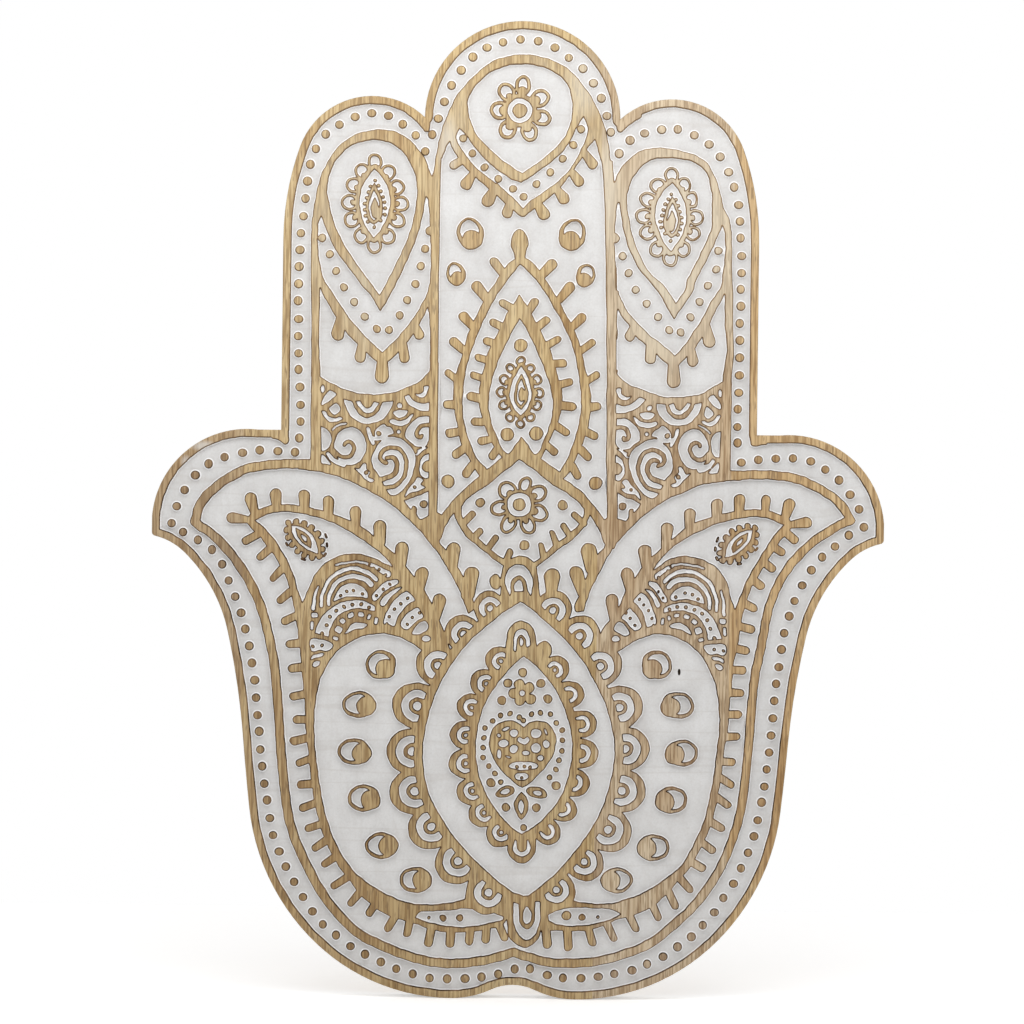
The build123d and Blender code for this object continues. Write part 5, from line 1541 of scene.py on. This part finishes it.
group = new_group(
    "beads_along_lines",
    (("Geometry", "Geometry"), ("Bead", "Object"), ("Pitch", "Float"), ("Seed", "Int"),
     ("Finish", "Material")))
given = grow(group, "NodeGroupInput").outputs
curve = grow(group, "GeometryNodeMeshToCurve", {"Mesh": given["Geometry"]})
spaced = grow(
    group, "GeometryNodeResampleCurve", {"Curve": curve.outputs[0], "Length": given["Pitch"]},
    mode="LENGTH")
stray = grow(
    group, "FunctionNodeRandomValue",
    {"Min": (-bead_stray, 0, -bead_stray), "Max": (bead_stray, 0, bead_stray), "Seed": given["Seed"]},
    data_type="FLOAT_VECTOR")
moved = grow(
    group, "GeometryNodeSetPosition", {"Geometry": spaced.outputs[0], "Offset": stray.outputs["Value"]})
spots = grow(group, "GeometryNodeCurveToPoints", {"Curve": moved.outputs[0]}, mode="EVALUATED")
sizes = grow(
    group, "FunctionNodeRandomValue", {"Min": (0.94, 1, 0.94), "Max": (1.1, 1, 1.1), "Seed": given["Seed"]},
    data_type="FLOAT_VECTOR")
shown = grow(group, "GeometryNodeObjectInfo", {"Object": given["Bead"]})
placed = grow(
    group, "GeometryNodeInstanceOnPoints",
    {"Points": spots.outputs[0], "Instance": shown.outputs["Geometry"], "Scale": sizes.outputs["Value"]})
end_group(group, placed.outputs[0], given["Finish"])


def run_nodes(piece, node_group, values):
    """Runs a node group on a piece and leaves its result as the piece's plain mesh."""
    modifier = piece.modifiers.new("nodes", "NODES")
    modifier.node_group = node_group
    for socket in node_group.interface.items_tree:
        if socket.in_out == "INPUT" and socket.name in values:
            modifier[socket.identifier] = values[socket.name]
    made = bpy.data.meshes.new_from_object(piece.evaluated_get(bpy.context.evaluated_depsgraph_get()))
    piece.modifiers.remove(modifier)
    piece.data = made


run_nodes(
    beads, group, {"Bead": bead, "Pitch": bead_pitch / 1000, "Seed": bead_seed, "Finish": carved_front})
bpy.data.objects.remove(bead)
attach(beads, "panel")


# Hanger straps
# A strip of zinc-plated steel, folded into an eye at the top and screwed flat to the back of the plaque.
# The cut end is rounded at the corners; the plating is dulled and lightly scratched along the strip.
strap_half = 6.0
strap_thick = 1.2
strap_length = 42
corner_radius = 3.0
strap_section = (
    (-1, -0.7), (-0.97, -1), (0.97, -1), (1, -0.7), (1, 0.7), (0.97, 1), (-0.97, 1), (-1, 0.7))
eye_middle = 2.6
eye_high = 3.2
hanger_x = 112.0
hanger_z = 150.0
plated_steel, tree, shader = new_finish("plated_steel", 0.4)
shader.inputs["Metallic"].default_value = 1.0
cloud = speckle(tree, (130, 130, 130), 4.0, (0.4, 1.1, 3.0), 0.6)
scratch = speckle(tree, (2600, 2600, 60), 2.0, (1.0, 0, 0.5))
plating = ramp_of(tree, cloud, [(0.35, (0.46, 0.46, 0.45)), (0.65, (0.66, 0.66, 0.64))])
plating = blend_colours(tree, stretch(tree, scratch, 0.52, 0.72, 0.0, 0.5), plating, (0.36, 0.35, 0.33, 1))
tree.links.new(plating, shader.inputs["Base Color"])
tree.links.new(stretch(tree, cloud, 0.3, 0.7, 0.30, 0.52), shader.inputs["Roughness"])
add_bump(tree, shader, scratch, 0.15, 0.0001)
flat_run = []
for d in (0.0, 0.12, 0.45, 1.0, 1.8, 3.0, 12.0, 27.0, 41.0, 42.0):
    short = corner_radius - min(d, corner_radius)
    half = strap_half - corner_radius + (corner_radius ** 2 - short ** 2) ** 0.5
    flat_run.append((strap_thick / 2, hanger_z - strap_length + d, 90.0, half))
eye_run = [
    (eye_high + eye_middle * cos(radians(180 - t)), hanger_z + eye_middle * sin(radians(180 - t)),
     90.0 - t, strap_half)
    for t in range(10, 301, 10)]
for side_name, side in (("left", -1), ("right", 1)):
    corners, faces = [], []
    for y, z, lean, half in flat_run + eye_run:
        out_y, out_z = -sin(radians(lean)), cos(radians(lean))
        for across_it, through in strap_section:
            d = through * strap_thick / 2
            corners.append((
                (side * hanger_x + across_it * half) / 1000, (y + d * out_y) / 1000,
                (z + d * out_z) / 1000))
    stations = len(flat_run) + len(eye_run)
    around = len(strap_section)
    for low in range(0, (stations - 1) * around, around):
        high = low + around
        for k in range(around):
            m = (k + 1) % around
            faces.append((low + k, low + m, high + m, high + k))
    faces += [list(range(around))[::-1], list(range((stations - 1) * around, stations * around))]
    strap_mesh = bpy.data.meshes.new("hanger_strap")
    strap_mesh.from_pydata(corners, [], faces)
    strap_mesh.polygons.foreach_set("use_smooth", [True] * len(faces))
    strap_mesh.set_sharp_from_angle(angle=radians(40))
    strap_mesh.materials.append(plated_steel)
    strap = show(f"strap_{side_name}", strap_mesh)
    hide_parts(f"hanger_strap_{side_name}")
    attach(strap, "panel")


# Screws
# Four slotted round-head steel screws, two through each strap, driven into the back of the boards.
# Their steel is browned in patches and dull where it is brown.
browned_steel, tree, shader = new_finish("browned_steel", 0.45)
shader.inputs["Metallic"].default_value = 1.0
rust = speckle(tree, (420, 420, 420), 5.0, (2.0, 0.3, 1.0), 0.65)
tree.links.new(
    ramp_of(
        tree, rust, [(0.35, (0.40, 0.39, 0.37)), (0.55, (0.33, 0.29, 0.25)), (0.72, (0.22, 0.15, 0.10))]),
    shader.inputs["Base Color"])
tree.links.new(stretch(tree, rust, 0.35, 0.7, 0.32, 0.65), shader.inputs["Roughness"])
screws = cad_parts["hanger_screws"]
screws.data.materials.clear()
screws.data.materials.append(browned_steel)


# D rings
# A loop of steel wire on each strap, its straight bar lying in the eye so that the loop swings up and down.
# Drawn wire, bent and butted; plated like the straps but worn smoother.
wire_radius = 1.5
wire_sides = 20
bow_radius = 13.0
shoulder_radius = 2.5
wire_steel, tree, shader = new_finish("wire_steel", 0.3)
shader.inputs["Metallic"].default_value = 1.0
wear = speckle(tree, (260, 260, 260), 4.0, (3.3, 1.7, 0.2), 0.6)
tree.links.new(
    ramp_of(
        tree, wear, [(0.35, (0.50, 0.50, 0.49)), (0.6, (0.70, 0.70, 0.68)), (0.75, (0.58, 0.55, 0.50))]),
    shader.inputs["Base Color"])
tree.links.new(stretch(tree, wear, 0.3, 0.7, 0.20, 0.42), shader.inputs["Roughness"])
group = new_group(
    "wire_along_loop", (("Geometry", "Geometry"), ("Radius", "Float"), ("Finish", "Material")))
given = grow(group, "NodeGroupInput").outputs
curve = grow(group, "GeometryNodeMeshToCurve", {"Mesh": given["Geometry"]})
section = grow(
    group, "GeometryNodeCurvePrimitiveCircle", {"Resolution": wire_sides, "Radius": given["Radius"]})
tube = grow(
    group, "GeometryNodeCurveToMesh", {"Curve": curve.outputs[0], "Profile Curve": section.outputs[0]})
smoothed = grow(group, "GeometryNodeSetShadeSmooth", {"Geometry": tube.outputs[0]})
end_group(group, smoothed.outputs[0], given["Finish"])
bar_half = bow_radius - shoulder_radius
loop = [(x, 0.0) for x in (-6.0, -2.0, 2.0, 6.0)]
loop += [
    (bar_half + shoulder_radius * sin(radians(t)), shoulder_radius * (cos(radians(t)) - 1))
    for t in range(0, 90, 10)]
loop += [
    (bow_radius * cos(radians(t)), -shoulder_radius - bow_radius * sin(radians(t)))
    for t in range(0, 181, 5)]
loop += [
    (-bar_half - shoulder_radius * cos(radians(t)), shoulder_radius * (sin(radians(t)) - 1))
    for t in range(10, 91, 10)]
for side_name, side in (("left", -1), ("right", 1)):
    loop_mesh = bpy.data.meshes.new("loop")
    loop_points = [((side * hanger_x + x) / 1000, eye_high / 1000, (hanger_z + z) / 1000) for x, z in loop]
    loop_mesh.from_pydata(loop_points, [(i, (i + 1) % len(loop)) for i in range(len(loop))], [])
    ring = show(f"ring_{side_name}", loop_mesh)
    run_nodes(ring, group, {"Radius": wire_radius / 1000, "Finish": wire_steel})
    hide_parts(f"d_ring_{side_name}")
    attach(ring, f"{side_name}_ring")


# Wall bumpers
# Two soft round pads stuck near the foot of the back, so that the plaque stands off the wall.
# Moulded dark rubber, matt, with a little pale dust in its pores.
dusty_rubber, tree, shader = new_finish("dusty_rubber", 0.85)
dust = speckle(tree, (700, 700, 700), 4.0, (0.1, 2.0, 4.0), 0.7)
tree.links.new(
    ramp_of(
        tree, dust,
        [(0.40, (0.022, 0.022, 0.023)), (0.62, (0.045, 0.044, 0.043)), (0.78, (0.13, 0.12, 0.11))]),
    shader.inputs["Base Color"])
add_bump(tree, shader, dust, 0.2, 0.0002)
for side_name in ("left", "right"):
    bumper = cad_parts[f"wall_bumper_{side_name}"]
    bumper.data.materials.clear()
    bumper.data.materials.append(dusty_rubber)


# Camera, floor and light
# A white floor and a white surround, seen square on from far off, with one broad soft lamp
# in front of and above the fingers, so the plaque is brightest at the top as in the picture.
sensor_width = 36
view_distance = 2.5
view_width = 0.6281
floor_level = -0.3
lens_camera = bpy.data.cameras.new("camera")
lens_camera.sensor_width = sensor_width
lens_camera.lens = sensor_width * view_distance / view_width
camera = show("camera", lens_camera)
camera.location = (-0.003766, -2.522, -0.001325)
camera.rotation_euler = (radians(90), radians(-0.656), 0)
bpy.context.scene.camera = camera
floor_mesh = bpy.data.meshes.new("floor")
floor_corners = [(x, y, floor_level) for x, y in ((-2, -1.6), (2, -1.6), (2, 0.55), (-2, 0.55))]
floor_mesh.from_pydata(floor_corners, [], [(0, 1, 2, 3)])
floor = show("floor", floor_mesh)
white_floor, tree, shader = new_finish("white_floor", 0.9)
shader.inputs["Base Color"].default_value = (0.95, 0.95, 0.95, 1)


def looked_at(tree):
    """One for rays that show the surround itself: straight to the camera, mirrored or through glass."""
    path = grow(tree, "LightPath").outputs
    return larger(
        tree, larger(tree, path["Is Camera Ray"], path["Is Glossy Ray"]), path["Is Transmission Ray"])


glow = grow(tree, "Emission", {"Strength": stretch(tree, looked_at(tree), 0.0, 1.0, 0.10, 0.305)})
both = grow(tree, "AddShader", {0: shader.outputs[0], 1: glow.outputs[0]})
tree.links.new(both.outputs[0], tree.nodes["Material Output"].inputs["Surface"])
floor_mesh.materials.append(white_floor)
lamp = bpy.data.lights.new("overhead", "AREA")
lamp.shape = "RECTANGLE"
lamp.size = 0.9
lamp.size_y = 0.35
lamp.energy = 2.2
overhead = show("overhead", lamp)
overhead.location = (0, -0.42, 0.46)
overhead.rotation_euler = (Vector((0, 0, 0.12)) - overhead.location).to_track_quat("-Z", "Y").to_euler()
world = bpy.data.worlds.new("white")
world.use_nodes = True
bpy.context.scene.world = world
tree = world.node_tree
soft = tree.nodes["Background"]
soft.inputs["Color"].default_value = (1, 1, 1, 1)
soft.inputs["Strength"].default_value = 0.70
seen = grow(tree, "Background", {"Color": (1, 1, 1, 1), "Strength": 1.0})
which = grow(tree, "MixShader", {0: looked_at(tree), 1: soft.outputs[0], 2: seen.outputs[0]})
tree.links.new(which.outputs[0], tree.nodes["World Output"].inputs["Surface"])
bpy.context.scene.view_settings.view_transform = "Standard"
